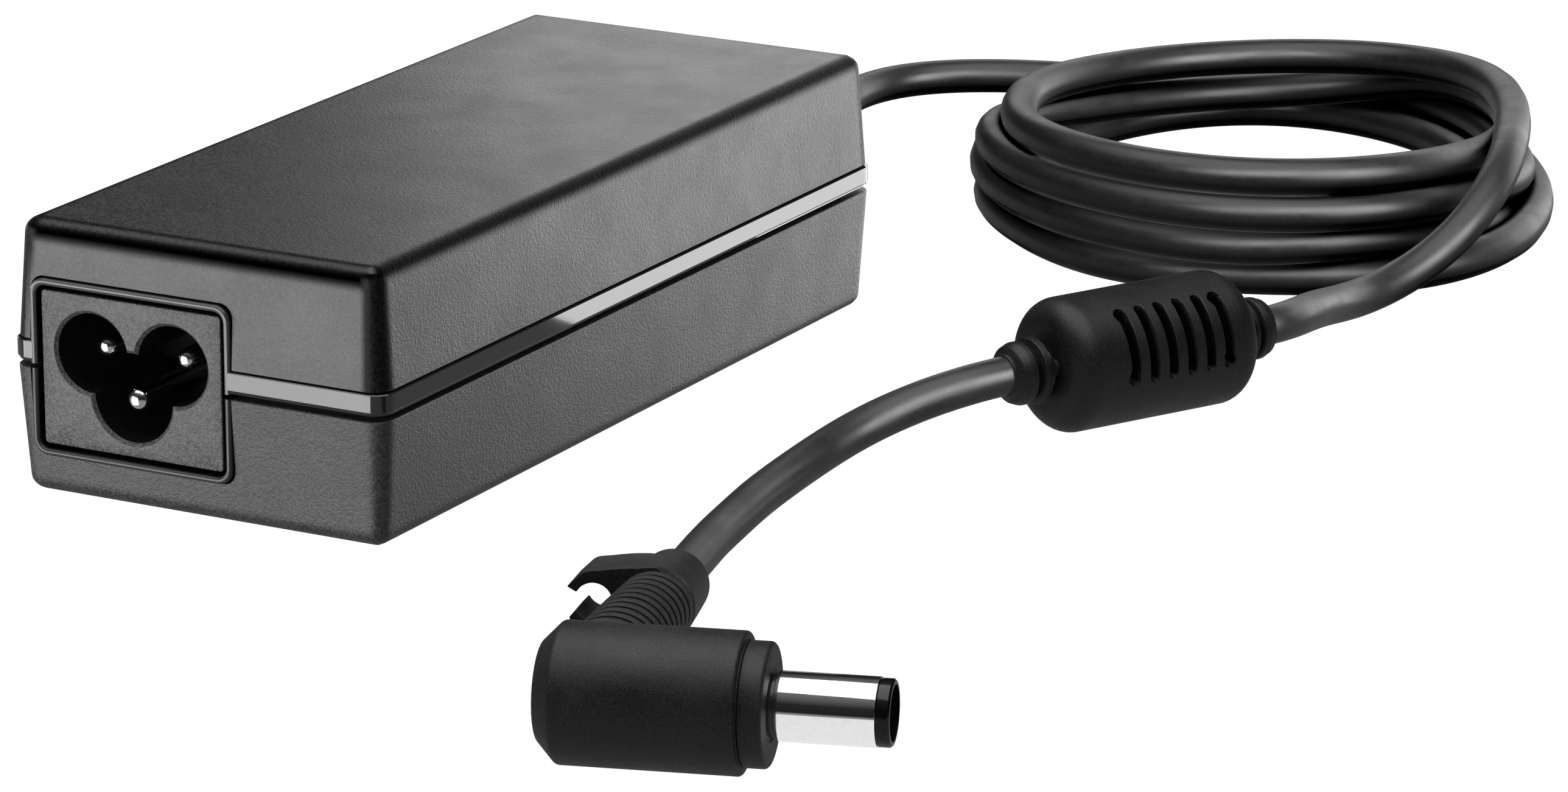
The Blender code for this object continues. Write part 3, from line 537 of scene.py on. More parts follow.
def settle(points, fixed, apart, floor, rounds):
    """The lead's strands are pushed apart to their own diameter, kept off the floor and kept smooth."""
    x = points.copy()
    home = points.copy()
    n = len(x)
    step = np.linalg.norm(np.diff(x, axis=0), axis=1).mean()
    far = max(2, int(round(14 / step)))
    pairs = None
    for it in range(rounds):
        if it % 20 == 0:
            gap = np.linalg.norm(x[:, None] - x[None], axis=2)
            i, j = np.where(gap < apart + 2.5)
            keep = j - i > far
            pairs = i[keep], j[keep]
        y = x.copy()
        y += 0.02 * (home - y)
        for _ in range(2):
            lap = np.zeros_like(y)
            lap[2:-2] = y[:-4] - 4 * y[1:-3] + 6 * y[2:-2] - 4 * y[3:-1] + y[4:]
            y -= 0.05 * lap
        for _ in range(3):
            i, j = pairs
            gap = y[i] - y[j]
            length = np.linalg.norm(gap, axis=1)
            hit = length < apart
            if hit.any():
                i, j, gap, length = i[hit], j[hit], gap[hit], length[hit]
                push = ((apart - length) / np.maximum(length, 1e-6))[:, None] * gap * 0.3
                move, count = np.zeros_like(y), np.zeros(n)
                np.add.at(move, i, push)
                np.add.at(move, j, -push)
                np.add.at(count, i, 1)
                np.add.at(count, j, 1)
                y += move / np.maximum(count, 1)[:, None] * 1.5
            y[:, 2] = np.maximum(y[:, 2], floor)
        y[fixed] = points[fixed]
        x = y
    return x


coarse, marks = spline_through(route, 3.0, held)
settled = settle(coarse, marks == 1, 2 * CORD_R, CORD_R + 0.06, 500)
line, _ = spline_through(settled, 1.5)

curve = bpy.data.curves.new("output_lead", "CURVE")
curve.dimensions = "3D"
curve.bevel_depth = CORD_R * 1.02 * MM
curve.bevel_resolution = 6
curve.use_fill_caps = True
spline = curve.splines.new("POLY")
spline.points.add(len(line) - 1)
spline.points.foreach_set("co", np.concatenate([line * MM, np.ones((len(line), 1))], axis=1).astype(np.float32).ravel())
spline.use_smooth = True
lead = bpy.data.objects.new("output_lead", curve)
bpy.context.scene.collection.objects.link(lead)
curve.materials.append(CORD)
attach(lead, "root")
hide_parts("cord_exit_run", "cord_coil", "cord_front_run")

# ================================================================ case
LENGTH, WIDTH, HEIGHT = 107.8, 46.0, 29.9
SEAM_LOW, SEAM_HIGH = 13.92, 14.45
DRAFT, WALL = 0.064, 2.2
BAND_TOP, BAND_DEEP, BAND_PROUD = 16.85, 1.18, 0.12
INLET_X, INLET_Z, INLET_W, INLET_H = -8.05, 14.15, 22.4, 16.9
CORNER = 2.1


def case_rings(path, corner=0.0):
    """Rings round the case for (inset, z, flat) triples, and their flat marks."""
    rings, flats = [], []
    for inset, z, flat in path:
        pts, marks = round_rect_held(WIDTH / 2 - inset, LENGTH / 2 - inset, CORNER - inset * 0.6 if inset < 2 else 0.3, 8, 0.7)
        rings.append([(x, y, z) for x, y in pts])
        if flat < 0:
            # how far down from the top face: the front edge carries a painted highlight line between bands of painted
            # shade, the others only a painted band of shade
            front, side = np.interp(-flat, *PAINTED_EDGE_FRONT), np.interp(-flat, *PAINTED_EDGE_SIDE)
            row = [side if m > 0.5 else min(side, corner) for m in marks]
            row[32] = row[33] = front
            # part way down the edge, the front right corner gets a painted highlight spot
            if 0.75 < -flat < 1.75:
                row[34:39] = [front, 0.8, 1.0, 0.9, 0.45]
            flats.append([float(v) for v in row])
        else:
            flats.append([1.0 if flat > 1.5 else min(flat, max(m, corner)) for m in marks])
    return rings, flats


# the painted shade and painted highlight line of the upper edges by the distance from the top face, in millimetres plus
# one half
PAINTED_EDGE_FRONT = (
    (0.05, 0.5, 0.85, 1.15, 1.4, 1.65, 1.9, 2.15, 2.4, 2.75, 3.05, 3.35, 3.65, 4.0),
    (1.0, 0.4, 0.15, 0.5, 0.75, 0.68, 0.25, 0.05, 0.0, 0.0, 0.05, 0.2, 0.6, 1.0),
)
PAINTED_EDGE_SIDE = (
    (0.05, 0.5, 0.85, 1.2, 1.5, 1.8, 2.1, 2.4, 2.7, 3.0, 3.3),
    (1.0, 0.5, 0.25, 0.14, 0.08, 0.04, 0.03, 0.1, 0.35, 0.7, 1.0),
)


def drafted(z, seam):
    return DRAFT * abs(z - seam)


def edge_arc(z_end, seam, radius, n=7):
    """From the wall to the end face, round a quarter circle."""
    sign = 1 if z_end > seam else -1
    out = []
    for k in range(n + 1):
        a = math.pi / 2 * k / n
        z = z_end - sign * radius * (1 - math.sin(a))
        out.append((drafted(z, seam) + radius * (1 - math.cos(a)), z, -0.5 - radius * (math.pi / 2 - a) if sign > 0 else 0.92))
    return out


def shell(name, seam, z_end, radius, mat, node, rebate=None, lip=0.0):
    sign = 1 if z_end > seam else -1
    wall = []
    if rebate:
        step_in, step_z = rebate
        wall += [(step_in, seam, 1.0), (step_in, step_z, 1.0), (drafted(step_z, seam) + 0.08, step_z, 1.0), (drafted(step_z, seam), step_z + 0.08 * sign, 1.0)]
    else:
        wall += [(0.25, seam, 1.0), (0.08, seam + 0.03 * sign, 1.0), (0.0, seam + 0.14 * sign, 1.0)]
    for down in (1.67, 1.22, 0.94, 0.57, 0.29) if sign > 0 else (0.5,):
        z = z_end - sign * (radius + down)
        wall += [(drafted(z, seam), z, -0.5 - radius * math.pi / 2 - down if sign > 0 else 1.0)]
    wall += edge_arc(z_end, seam, radius, 12 if sign > 0 else 7)
    wall += [(drafted(z_end, seam) + radius + 0.45, z_end, 2.0)]
    # the vertical corners get painted shade too: strongly on the upper shell, hardly at all on the lower
    rings, flats = case_rings(wall, 0.2 if sign > 0 else 0.97)
    inner = [(WALL + drafted(z_end - sign * WALL, seam), z_end - sign * WALL, 2.0), (WALL, seam, 2.0)]
    more, more_flat = case_rings(inner)
    # end face, outer wall from its end to the seam, then the inner wall back to the inner end face
    obj = loft(name, list(reversed(rings)) + list(reversed(more)), flat=list(reversed(flats)) + list(reversed(more_flat)))
    return obj


def inlet_ring(grow, y, corner, n=8):
    pts, _ = round_rect_held(INLET_W / 2 + grow, INLET_H / 2 + grow, corner, n)
    return [(INLET_X + x, y, INLET_Z + z) for x, z in pts]


def inlet_tool(name, grow, corner, front=-60.0, back=-49.0):
    return loft(name, [inlet_ring(grow, front, corner), inlet_ring(grow, back, corner)])


def exit_tool(radius):
    return lathe("exit_tool", [(radius, 0), (radius, 12)], (0, 48, 14.2), (0, 1, 0), 48)


GAP, RIM, RIM_FACE = 0.5, 0.75, -54.05
upper = shell("upper_case", SEAM_HIGH, HEIGHT, 1.55, CASE_UP, "upper_shell", rebate=(BAND_DEEP + 0.1, BAND_TOP + 0.12))
cut(upper, [inlet_tool("seat", GAP + RIM + 0.14, 1.6), exit_tool(4.25)])
finish_mesh(upper, CASE_UP, node="upper_shell", sharp=35)

lower = shell("lower_case", SEAM_LOW, 0.0, 1.55, CASE_LOW, "lower_shell")
lip_rings, lip_flat = case_rings([(WALL - 0.1, 10.5, 1.0), (WALL - 0.1, 13.0, 1.0), (WALL + 0.4, 13.4, 1.0), (WALL + 0.4, 16.2, 1.0), (WALL + 1.5, 16.2, 1.0), (WALL + 1.5, 10.5, 1.0)])
lip = loft("lip", lip_rings, flat=lip_flat, wrap=True)
cut(lip, [box_tool("lip_front", (INLET_X - 11.6, -56, 5), (INLET_X + 11.6, -35.2, 25)), box_tool("lip_back", (-7.2, 47.5, 7.5), (7.2, 56, 21))])
cut(lower, [lip], "UNION")
cut(lower, [inlet_tool("seat", GAP + RIM + 0.1, 1.6), exit_tool(4.25)])
finish_mesh(lower, CASE_LOW, node="lower_shell", sharp=35)
for half in (upper, lower):
    # the corners of the inlet's opening are part of the flat front face
    marks = half.data.attributes["flat"]
    for v in half.data.vertices:
        if abs(v.co.x - INLET_X * MM) < 0.0133 and abs(v.co.z - INLET_Z * MM) < 0.0105 and v.co.y < -0.05:
            marks.data[v.index].value = 1.0

# the polished strip above the seam, joined to the bead round the top of the inlet
band_path = [
    (BAND_DEEP, SEAM_HIGH, 1), (0.42, SEAM_HIGH, 1), (0.2, SEAM_HIGH + 0.02, 1), (0.08, SEAM_HIGH + 0.12, 1), (0.06, SEAM_HIGH + 0.3, 1),
    (-BAND_PROUD + 0.04, SEAM_HIGH + 0.42, 1), (-BAND_PROUD, SEAM_HIGH + 0.5, 1), (-BAND_PROUD, BAND_TOP - 0.1, 1), (-BAND_PROUD + 0.1, BAND_TOP, 1), (BAND_DEEP, BAND_TOP, 1),
]
band_rings, _ = case_rings(band_path)
band = loft("polished_band", band_rings, wrap=True)
outline = []
for k in range(9):
    a = math.pi * k / 8
    outline.append((GAP + RIM / 2 - RIM / 2 * math.cos(a), RIM_FACE + 0.42 - 0.42 * math.sin(a)))
rim_path = [(GAP, -50.6), *outline, (GAP + RIM, -50.6)]
rim = loft("inlet_bead", [inlet_ring(g, y, 0.75 + g * 0.8, 8) for g, y in rim_path], wrap=True)
rim_low = rim.copy()
rim_low.data = rim.data.copy()
bpy.context.scene.collection.objects.link(rim_low)
cut(rim, [box_tool("above", (-40, -70, SEAM_HIGH), (40, -40, 40))], "INTERSECT")
cut(rim_low, [box_tool("below", (-40, -70, -5), (40, -40, SEAM_LOW))], "INTERSECT")
cut(band, [inlet_tool("band_gap", GAP + RIM * 0.5, 1.2, -60, -48), exit_tool(4.25)])
cut(band, [rim], "UNION")
finish_mesh(band, POLISHED, node="trim_band", sharp=14)
rim_low.name = "lower_inlet_bead"
finish_mesh(rim_low, RIM_LOW, sharp=35)
for piece in (band, rim_low):
    # the walls of the open line round the inlet get a near-black colour: painted shade
    piece.data.materials.append(PAINTED_SHADE)
    piece.data.materials.append(BEAD_SATIN if piece is band else RIM_LOW)
    for poly in piece.data.polygons:
        c, n = poly.center, poly.normal
        if abs(c.x - INLET_X * MM) < 0.01255 and c.y < -0.05:
            poly.material_index = 2
        if abs(c.x - INLET_X * MM) < 0.0127 and abs(c.z - INLET_Z * MM) < 0.0099 and c.y > -0.05355 and c.y < -0.05 and abs(n.y) < 0.5:
            poly.material_index = 1

# ================================================================ inlet
FACE_Y, RECESS = -53.6, 15.5
LOBE_R, LOBE_X, LOBE_Z, EARTH_R, EARTH_Z = 4.35, 5.0, 16.3, 4.87, 12.13
CHAMFER = 0.36
inlet = loft("inlet_insert", [
    inlet_ring(-0.25, FACE_Y, 0.35), inlet_ring(-0.08, FACE_Y + 0.07, 0.45), inlet_ring(0.0, FACE_Y + 0.25, 0.5), inlet_ring(0.0, -35.7, 0.5)])
floor_y = FACE_Y + RECESS


def flare(half, low, high, reach):
    """A four-sided tool that widens towards the inlet's face."""
    rings = []
    for y, g in ((-60.0, reach), (FACE_Y + CHAMFER - reach, reach), (FACE_Y + CHAMFER + 0.3, -0.3)):
        rings.append([(INLET_X - half, y, low), (INLET_X + half, y, low), (INLET_X + half, y, high + g), (INLET_X - half, y, high + g)])
    return loft("flare", rings)


tools = []
for x, z, r in ((INLET_X - LOBE_X, LOBE_Z, LOBE_R), (INLET_X + LOBE_X, LOBE_Z, LOBE_R), (INLET_X, EARTH_Z, EARTH_R)):
    mouth = FACE_Y + CHAMFER + 60
    tools.append(lathe("lobe", [(r, 0), (r, floor_y + 60)], (x, -60, z), (0, 1, 0), 96))
    tools.append(lathe("mouth", [(r + 0.9, 0), (r + 0.9, mouth - 0.9), (r - 0.3, mouth + 0.3)], (x, -60, z), (0, 1, 0), 96))
tools.append(box_tool("lobe_middle", (INLET_X - EARTH_R + 0.02, -60, 11.97), (INLET_X + EARTH_R - 0.02, floor_y, LOBE_Z + 0.15)))
tools.append(flare(3.0, 12.0, LOBE_Z + 0.15, 0.9))
pins = (
    ("line", INLET_X - 0.2 - LOBE_X, LOBE_Z, 1.18, -50.95),
    ("neutral", INLET_X - 0.2 + LOBE_X, LOBE_Z, 1.18, -50.95),
    ("earth", INLET_X, 11.75, 1.3, -53.2),
)
cut(inlet, tools)
for name, x, z, r, tip in pins:
    cut(inlet, [lathe("bore", [(r + 0.15, 0), (r + 0.15, 12)], (x, -42, z), (0, 1, 0), 32)])
finish_mesh(inlet, INLET, node="inlet_housing", sharp=32)
# inside the recess the moulding is smooth, and its colour is painted near-black as shade
inlet.data.materials.append(PAINTED_SHADE)
for poly in inlet.data.polygons:
    c = poly.center
    beside = abs(c.x - INLET_X * MM) > 0.0109 or abs(c.z - INLET_Z * MM) > 0.0082
    if c.y > (FACE_Y + (0.3 if beside else CHAMFER + 0.1)) * MM:
        poly.material_index = 1
for name, x, z, r, tip in pins:
    dome = [(r * math.sin(a), r * 0.85 * (1 - math.cos(a))) for a in np.linspace(0, math.pi / 2, 9)]
    pin = lathe(name + "_contact", [*dome, (r, -32.0 - tip)], (x, tip, z), (0, 1, 0), 32)
    finish_mesh(pin, NICKEL, node=name + "_pin", sharp=40)

# ================================================================ grommet at the back of the case
g0 = 48.6
profile = fillet([(0, 0), (6.2, 0), (6.2, 2.3), (3.95, 2.3), (3.95, 5.75), (4.3, 5.75), (4.75, 6.2), (4.75, 7.6), (3.8, 8.0)], 0.25, 3)
ribs = []
for d in np.arange(8.4, 29.0, 2.05):
    r = 3.75 - (d - 8.0) * 0.046
    ribs += [(r - 0.55, d), (r - 0.5, d + 0.15), (r, d + 0.45), (r, d + 1.35), (r - 0.5, d + 1.65), (r - 0.55, d + 1.8)]
profile = [tuple(p) for p in profile] + ribs + [(2.62, 29.6), (2.5, 30.0), (2.17, 30.05)]
grommet = lathe("exit_strain_relief", profile, (0, g0, 14.2), (0, 1, 0), 48)
finish_mesh(grommet, MOULD, node="cord_grommet", sharp=40)

# ================================================================ ferrite bead
SPAN = float(np.linalg.norm(bead_b - bead_a))
bx, by, bz = frame_of(bead_dir)
side_out = np.array((bead_dir[1], -bead_dir[0], 0.0))


def smooth(a, b, x):
    t = np.clip((x - a) / (b - a), 0.0, 1.0)
    return t * t * (3 - 2 * t)


def bead_radius(s):
    """Radius along the bead, s from its left face."""
    R, F = 7.5, 2.9
    if s < 0 or s > SPAN:
        d = -s if s < 0 else s - SPAN
        # groove, ring, groove, lip, neck
        r = 2.95
        r = r + (3.7 - r) * (smooth(0.95, 1.15, d) - smooth(2.0, 2.2, d))
        r = r + (3.5 - 2.95) * smooth(2.75, 3.0, d)
        if d > 3.0:
            r = 3.5 - 0.3 * smooth(3.6, 4.6, d) - 0.9 * smooth(4.5, 5.2, d)
        return r
    e = min(s, SPAN - s)
    if e < F:
        return R - F + math.sqrt(max(0.0, F * F - (F - e) ** 2))
    return R


s_list = list(np.linspace(-5.25, -0.02, 60)) + list(SPAN - np.flip(np.linspace(-5.25, -0.02, 60)))
s_list += list(2.9 * (1 - np.cos(np.linspace(0, math.pi / 2, 14)))) + list(SPAN - 2.9 * (1 - np.cos(np.linspace(0, math.pi / 2, 14))))
SLOTS, PITCH, SLOT_W = 6, 2.55, 1.05
slot_mid = SPAN / 2 + 1.0
slot_s = [slot_mid + PITCH * (i - (SLOTS - 1) / 2) for i in range(SLOTS)]
s_list += list(np.arange(slot_s[0] - 1.4, slot_s[-1] + 1.41, 0.1))
s_list += [3.4, 3.9, SPAN - 3.3]
s_list = sorted(set(round(float(s), 4) for s in s_list))
# angle 0 faces straight out of the bead's side, level; positive is up
ang = sorted(set([round(float(a), 3) for a in np.concatenate([np.arange(-26, 70.01, 1.1), np.arange(72, 334.1, 6.0)])]))
S0, S1 = -5.0, 55.0


def slot_depth(s, a):
    """How far the surface sinks at this place, for the slots in the moulding."""
    deep = 0.0
    for i, c in enumerate(slot_s):
        ds = s - c
        if abs(ds) > 1.3:
            continue
        arc = 7.5 * math.radians(1.0)
        over = max(0.0, (a - S1) * arc, (S0 - a) * arc)
        half = SLOT_W / 2
        bulge = 0.0
        if i == 0:
            bulge = max(0.0, 1 - abs(a - S1 + 2) / 7.0, 1 - abs(a - S0 - 2) / 7.0)
            ds = ds + 0.22 * bulge
        if i == SLOTS - 1:
            bulge = max(0.0, 1 - abs(a - S1 + 2) / 7.0, 1 - abs(a - S0 - 2) / 7.0)
            ds = ds + 0.3 * bulge * (1 if a > 0 else -0.2)
        reach = math.hypot(over, ds)
        deep = max(deep, 1.0 - smooth(half + 0.18 * bulge - 0.16, half + 0.18 * bulge + 0.1, reach))
    return 1.7 * deep


rings = []
for s in s_list:
    base = bead_radius(s)
    ring = []
    for a in ang:
        r = base
        t = math.radians(a)
        if 3.0 < s < SPAN - 1.5 and -25 < a < 69:
            r -= slot_depth(s, a)
        d = -s if s < 0 else s - SPAN
        if 0 < d < 1.2:
            # bridges across the first groove
            r += 0.62 * max(0.0, math.cos(2 * t - 0.6)) ** 6 * smooth(0.0, 0.15, d)
        n = side_out * math.cos(t) + np.array((0, 0, 1.0)) * math.sin(t)
        ring.append(bead_a + bead_dir * s + n * r)
    rings.append(ring)
bead = loft("ferrite_bead", rings)
finish_mesh(bead, MOULD, node="ferrite_overmould", sharp=70)
# down in the slots and grooves the colour is painted near-black as shade
bead.data.materials.append(PAINTED_SHADE)
for poly in bead.data.polygons:
    c = np.array(poly.center) / MM - bead_a
    s = float(c @ bead_dir)
    deep = bead_radius(s) - float(np.linalg.norm(c - bead_dir * s))
    d = -s if s < 0 else s - SPAN
    if (3.0 < s < SPAN - 1.5 and deep > 0.35) or (0.0 < d < 3.0 and np.linalg.norm(c - bead_dir * s) < 3.2):
        poly.material_index = 1

# ================================================================ plug
plug_z = 6.85
plug_start = np.array((68.79, -99.95, plug_z))
housing = lathe("plug_body", fillet(
    [(0.0, 0.0), (4.8, 0.0), (6.85, 1.95), (6.85, 19.56), (6.1, 19.56), (6.1, 19.7), (0, 19.7)],
    [0, 0.55, 0.7, 0.9, 0.05, 0.05, 0], 6), plug_start, plug_dir, 96)
finish_mesh(housing, PLUGM, node="plug_housing", sharp=50)
collar_at = plug_start + plug_dir * 19.75
collar = lathe("plug_shoulder", fillet(
    [(0.0, 0.0), (6.0, 0.0), (6.0, 2.3), (3.5, 2.3), (3.42, 2.15), (0, 2.1)], [0, 0.1, 0.45, 0.04, 0, 0], 5), collar_at, plug_dir, 96)
finish_mesh(collar, PLUGM, node="plug_collar", sharp=50)
barrel_at = collar_at + plug_dir * 2.12
barrel = lathe("barrel_contact", fillet(
    [(2.9, 10.4), (2.9, 0.0), (3.05, 0.0), (3.05, 0.75), (3.35, 0.75), (3.35, 10.4), (2.9, 10.4)], [0, 0, 0.05, 0.05, 0.08, 0.06, 0], 3)[:-1],
    barrel_at, plug_dir, 96, wrap=True)
finish_mesh(barrel, CHROME, node="plug_barrel", sharp=40)
tip = lathe("insulator_tip", fillet(
    [(2.72, 11.75), (2.72, 10.0), (2.85, 10.0), (2.85, 10.45), (3.25, 10.45), (3.25, 11.55), (3.05, 11.75), (2.72, 11.75)],
    [0, 0, 0, 0.04, 0.05, 0.08, 0.08, 0], 3)[:-1], barrel_at, plug_dir, 96, wrap=True)
finish_mesh(tip, TIP, node="plug_tip", sharp=40)
sleeve = lathe("inner_sleeve", [(1.95, 10.6), (1.95, 0.2), (2.2, 0.2), (2.2, 10.5), (2.12, 10.6)], barrel_at, plug_dir, 64, wrap=True)
finish_mesh(sleeve, NICKEL, node="plug_inner_sleeve", sharp=40)
pin = lathe("centre_contact", [(0.02, 9.9), (0.3, 9.8), (0.45, 9.5), (0.5, 9.0), (0.5, 0.2)], barrel_at, plug_dir, 32)
finish_mesh(pin, NICKEL, node="plug_centre_pin", sharp=40)

# the ribbed tail: ribs with narrow grooves between them, then a smooth collar
COLLAR_T, TAIL_END, RIB_PITCH = 33.0, 43.05, 2.1
ts = np.concatenate([np.linspace(6.0, 9.6, 8), np.arange(9.7, 33.45, 0.06), np.linspace(33.5, 42.1, 36), np.linspace(42.2, TAIL_END, 14)])
rings = []
for t in ts:
    p0, p1 = tail_point(t - 0.6), tail_point(t + 0.6)
    z = (p1 - p0) / np.linalg.norm(p1 - p0)
    x = np.cross([0, 0, 1.0], z)
    x /= np.linalg.norm(x)
    y = np.cross(z, x)
    if t < COLLAR_T:
        r = float(np.interp(t, (7, 12, 16.2, 20.4, 24.6, 33), (4.6, 4.5, 4.25, 4.02, 3.92, 3.86)))
    else:
        r = float(np.interp(t, (33, 42, TAIL_END), (3.94, 3.6, 3.56)))
    wide, tall = 1.02, 0.97
    if t < COLLAR_T + 0.5:
        off = abs((t - COLLAR_T + RIB_PITCH / 2) % RIB_PITCH - RIB_PITCH / 2)
        r -= 0.6 * (1 - smooth(0.16, 0.42, off))
        r -= 0.12 * (1 - smooth(0.3, 0.9, off))
    else:
        wide, tall = 1.0, 1.0
    r -= 1.15 * (1 - math.sqrt(max(0.0, 1 - np.clip((t - TAIL_END + 0.8) / 0.8, 0, 1) ** 2)))
    rings.append([tail_point(t) + r * (x * wide * math.cos(a) + y * tall * math.sin(a)) for a in np.linspace(0, 2 * math.pi, 72, endpoint=False)])
tail = loft("ribbed_tail", rings)
finish_mesh(tail, PLUGM, node="plug_strain_relief", sharp=60)
# the grooves between the ribs get a near-black colour: painted shade
tail.data.materials.append(PAINTED_SHADE)
for poly in tail.data.polygons:
    i = poly.index // 72
    if i < len(ts) - 1:
        t = (ts[i] + ts[i + 1]) / 2
        if 9.0 < t < COLLAR_T + 0.2 and abs((t - COLLAR_T + RIB_PITCH / 2) % RIB_PITCH - RIB_PITCH / 2) < 0.4:
            poly.material_index = 1

# the clip on the tail: an arm off the collar's top that goes round one strand, and a lower jaw
clip_a, clip_r, clip_out = 6.37, 1.95, 3.0


def arc(radius, start, end, n):
    return [(clip_a + radius * math.cos(math.radians(a)), radius * math.sin(math.radians(a))) for a in np.linspace(start, end, n)]


def clip_outline(top):
    """The clip's outline where the collar is this high above its axis; the arm leaves the collar smoothly."""
    blend = [(-0.5, top - 0.35), (0.0, top - 0.02), (0.8, top - 0.06), (1.4, top * 0.4 + 2.24), (1.9, 3.73), (2.4, 3.7), (3.2, 3.65), (3.9, 3.58)]
    return (
        blend + [(4.8, 3.45), (5.7, 3.3), (6.5, 3.2), (7.0, 3.12), (7.35, 2.99), (7.7, 2.76), (8.0, 2.46), (9.04, 1.44)]
        + arc(clip_r, 28, 332, 40)
        + arc(clip_out, 325, 225, 16)
        + [(3.4, -2.0), (-0.5, -1.9)]
    )


t0, t1 = 33.35, 39.7
p0, p1 = tail_point(t0), tail_point(t1)
z = (p1 - p0) / np.linalg.norm(p1 - p0)
x = -plug_dir
y = np.cross(z, x)
y = y if y[2] > 0 else -y
clip = loft("lead_clip", [[p + x * a + y * h for a, h in clip_outline(top)] for p, top in ((p0, 3.92), (p1, 3.68))], caps=(False, False))
bm = bmesh.new()
bm.from_mesh(clip.data)
bmesh.ops.holes_fill(bm, edges=bm.edges, sides=0)
bmesh.ops.recalc_face_normals(bm, faces=bm.faces)
bm.to_mesh(clip.data)
bm.free()
soften(clip, 0.12, 2, 40)
finish_mesh(clip, PLUGM, node="cord_clip", sharp=40)
# faces turned back towards the plug, and downward faces high on the clip, get a darker copy of the plug material:
# painted shade
clip.data.materials.append(SHADE)
for poly in clip.data.polygons:
    if -poly.normal.dot(Vector(tail_dir)) > 0.6 or (poly.normal.z < -0.3 and poly.center.z > 0.0045):
        poly.material_index = 1

# ================================================================ inside the case
INSIDE = {
    "board": gloss("laminate_green", (0.03, 0.16, 0.06), 0.35),
    "sheet": gloss("insulating_sheet", (0.6, 0.57, 0.48), 0.45),
    "copper": metal("copper_plain", (0.72, 0.35, 0.16), 0.3),
    "aluminium": metal("aluminium_plain", (0.7, 0.7, 0.71), 0.35),
    "device_plastic": case_plastic("device_plastic", (0.02, 0.02, 0.021), 0.45, edges=False),
    "film_case": gloss("film_case", (0.7, 0.55, 0.1), 0.35),
    "disc_coating": gloss("disc_coating", (0.08, 0.2, 0.5), 0.3),
    "can_sleeve": gloss("can_sleeve", (0.02, 0.03, 0.07), 0.25),
    "fuse_glass": gloss("fuse_tube", (0.6, 0.58, 0.5), 0.3),
    "winding_tape": gloss("winding_tape", (0.75, 0.6, 0.1), 0.35),
    "lead_red": gloss("lead_red", (0.45, 0.04, 0.03), 0.4),
    "lead_black": gloss("lead_black", (0.015, 0.015, 0.016), 0.4),
    "ferrite": case_plastic("ferrite_sintered", (0.05, 0.048, 0.046), 0.5, edges=False),
    "contact_nickel": NICKEL,
}
for part in frame["record"]["subparts"]:
    obj = frame["nodes"].get(part["node"])
    if obj is not None and not obj.hide_render and part["material_slot"] in INSIDE:
        obj.data.materials.clear()
        obj.data.materials.append(INSIDE[part["material_slot"]])

# ================================================================ floor and light
floor_mesh = bpy.data.meshes.new("floor")
bm = bmesh.new()
bmesh.ops.create_grid(bm, x_segments=1, y_segments=1, size=4.0)
bm.to_mesh(floor_mesh)
bm.free()
floor = bpy.data.objects.new("floor", floor_mesh)
bpy.context.scene.collection.objects.link(floor)
pale = Nodes("pale_floor", (0.08, 0.08, 0.08), 0.9, spec=0.05)
pale.set_colour(pale.tint(pale.noise(4.0, 2.0), 0.98, 1.02))
pale.shader.inputs["Emission Color"].default_value = (1, 1, 1, 1)
pale.shader.inputs["Emission Strength"].default_value = 1.0
floor_mesh.materials.append(pale.mat)
floor.visible_diffuse = floor.visible_glossy = floor.visible_shadow = False

# the studio: dim round the horizon, a grey table below it, a little light from above
world = bpy.data.worlds.new("studio")
bpy.context.scene.world = world
world.use_nodes = True
wt = world.node_tree
ground = wt.nodes["Background"]
seek = wt.nodes.new("ShaderNodeTexCoord")
split = wt.nodes.new("ShaderNodeSeparateXYZ")
wt.links.new(seek.outputs["Generated"], split.inputs["Vector"])
scale = wt.nodes.new("ShaderNodeMapRange")
scale.inputs["From Min"].default_value, scale.inputs["From Max"].default_value = -1.0, 1.0
wt.links.new(split.outputs["Z"], scale.inputs["Value"])
ramp = wt.nodes.new("ShaderNodeValToRGB")
ramp.color_ramp.interpolation = "LINEAR"
stops = [(0.0, 0.31), (0.42, 0.28), (0.485, 0.2), (0.5, 0.015), (0.72, 0.022), (0.9, 0.14), (1.0, 0.2)]
while len(ramp.color_ramp.elements) < len(stops):
    ramp.color_ramp.elements.new(0.5)
for element, (at, v) in zip(ramp.color_ramp.elements, stops):
    element.position = at
    element.color = (v, v, v, 1)
wt.links.new(scale.outputs["Result"], ramp.inputs["Fac"])
wt.links.new(ramp.outputs["Color"], ground.inputs["Color"])
paper = wt.nodes.new("ShaderNodeBackground")
paper.inputs["Color"].default_value = (1, 1, 1, 1)
seen = wt.nodes.new("ShaderNodeLightPath")
mixer = wt.nodes.new("ShaderNodeMixShader")
wt.links.new(seen.outputs["Is Camera Ray"], mixer.inputs["Fac"])
wt.links.new(ground.outputs["Background"], mixer.inputs[1])
wt.links.new(paper.outputs["Background"], mixer.inputs[2])
wt.links.new(mixer.outputs["Shader"], wt.nodes["World Output"].inputs["Surface"])


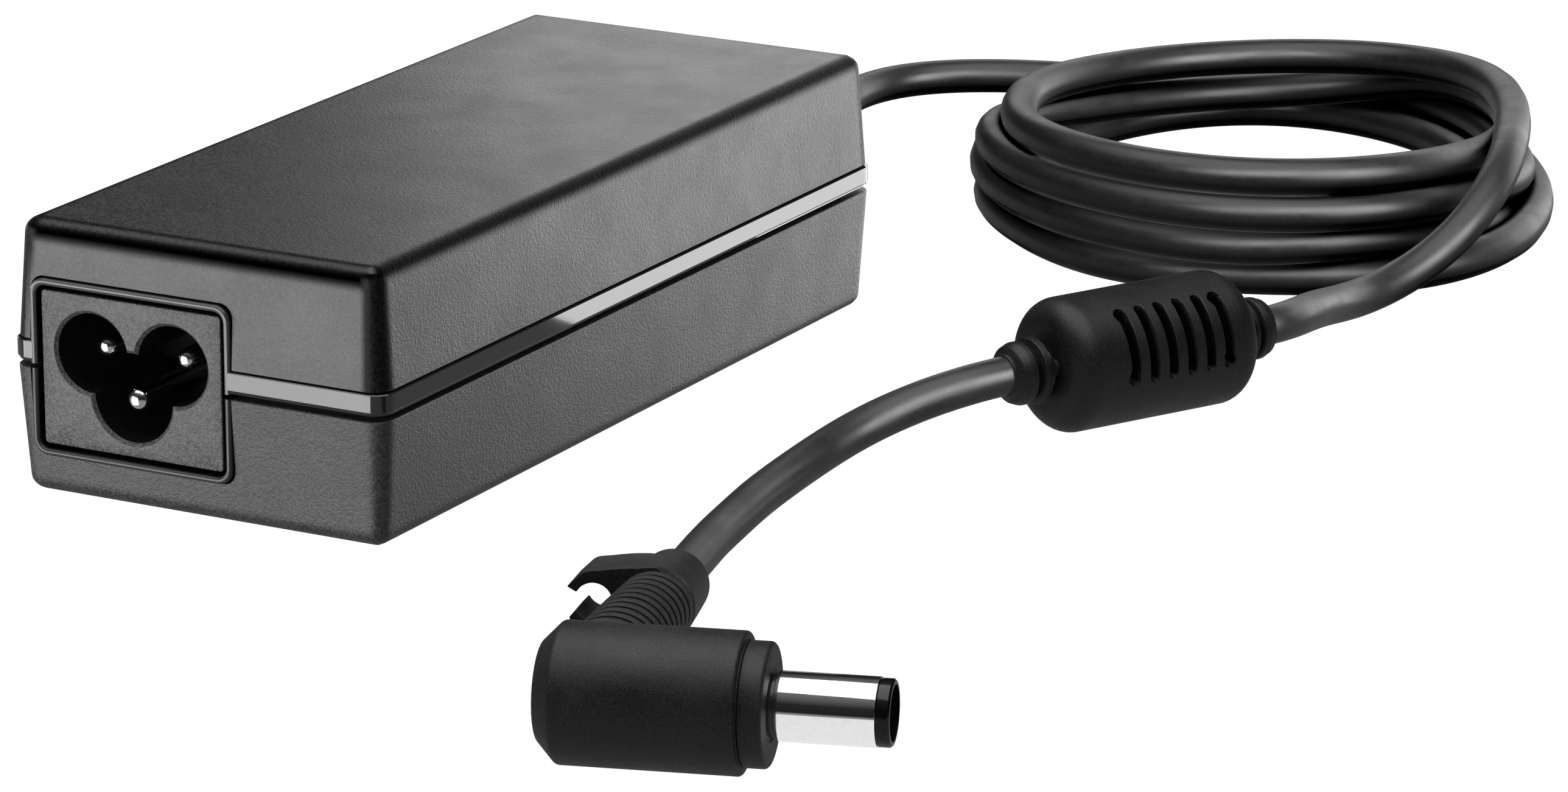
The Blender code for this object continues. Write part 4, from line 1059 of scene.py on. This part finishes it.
def softbox(name, at, toward, size, radiance, across=None, only=None):
    """A rectangular light given by what a mirror would show of it; its width runs along a given direction."""
    light = bpy.data.lights.new(name, "AREA")
    light.shape = "RECTANGLE"
    light.size, light.size_y = size[0] * MM, size[1] * MM
    light.energy = radiance * math.pi * size[0] * size[1] * MM * MM
    obj = bpy.data.objects.new(name, light)
    bpy.context.scene.collection.objects.link(obj)
    z = (Vector(at) - Vector(toward)).normalized()
    x = Vector(across) if across else Vector((0, 0, 1)).cross(z)
    x = (x - z * x.dot(z)).normalized() if x.length > 1e-6 else Vector((1, 0, 0))
    obj.matrix_world = Matrix.Translation(Vector(at) * MM) @ Matrix((x, z.cross(x), z)).transposed().to_4x4()
    obj.visible_camera = False
    if only:
        obj.light_linking.receiver_collection = only
    return obj


# the case and the lead each have their own small lights
case_only = bpy.data.collections.new("case_only")
for piece in (upper, lower, band, rim_low, inlet):
    case_only.objects.link(piece)
softbox("overhead", (-10, -60, 800), (30, 20, 0), (1200, 900), 1.85, (1, 0, 0))
softbox("front_card", (-182, -391, -10), (0, -54, 15), (430, 290), 5.6, None, case_only)
softbox("side_card", (143.4, 311.5, 37.3), (143.4 - 46.8, 311.5 - 84.2, 38.3 + 26.7), (300, 260), 3.9, (-0.869, 0.384, -0.313), case_only)
softbox("back_card", (-40, 250, 85), (0, 20, 30), (220, 120), 2.2, None, case_only)
softbox("left_card", (-450, 60, 60), (20, 60, 10), (300, 200), 3.0, None, case_only)
lead_only = bpy.data.collections.new("lead_only")
lead_only.objects.link(lead)
tail_only = bpy.data.collections.new("tail_only")
for piece in (tail, clip):
    tail_only.objects.link(piece)
softbox("tail_card", (420, -190, 420), (60, -60, 5), (600, 330), 2.2, None, tail_only)
softbox("lead_card", (420, -265, 370), (60, 80, 5), (1300, 330), 7.0, None, lead_only)
softbox("lead_side_card", (620, 20, 150), (70, 80, 5), (420, 300), 6.0, None, lead_only)
softbox("lead_back_card", (225, 700, 125), (140, 90, 8), (420, 400), 2.1, None, lead_only)
softbox("lead_left_card", (-215, 675, 245), (0, 110, 5), (500, 300), 1.2, None, lead_only)
pins_only = bpy.data.collections.new("pins_only")
for name in ("line", "neutral", "earth"):
    pins_only.objects.link(bpy.data.objects[name + "_contact"])
pin_card = softbox("pin_card", (-330, -620, -150), (-8, -50, 14), (700, 700), 5.5, None, pins_only)
pin_card.light_linking.blocker_collection = pins_only
barrel_only = bpy.data.collections.new("barrel_only")
barrel_only.objects.link(barrel)
softbox("table_card", (98, -500, -150), (98, -500, 0), (1600, 1600), 0.6, (1, 0, 0), barrel_only)
lead.visible_glossy = False
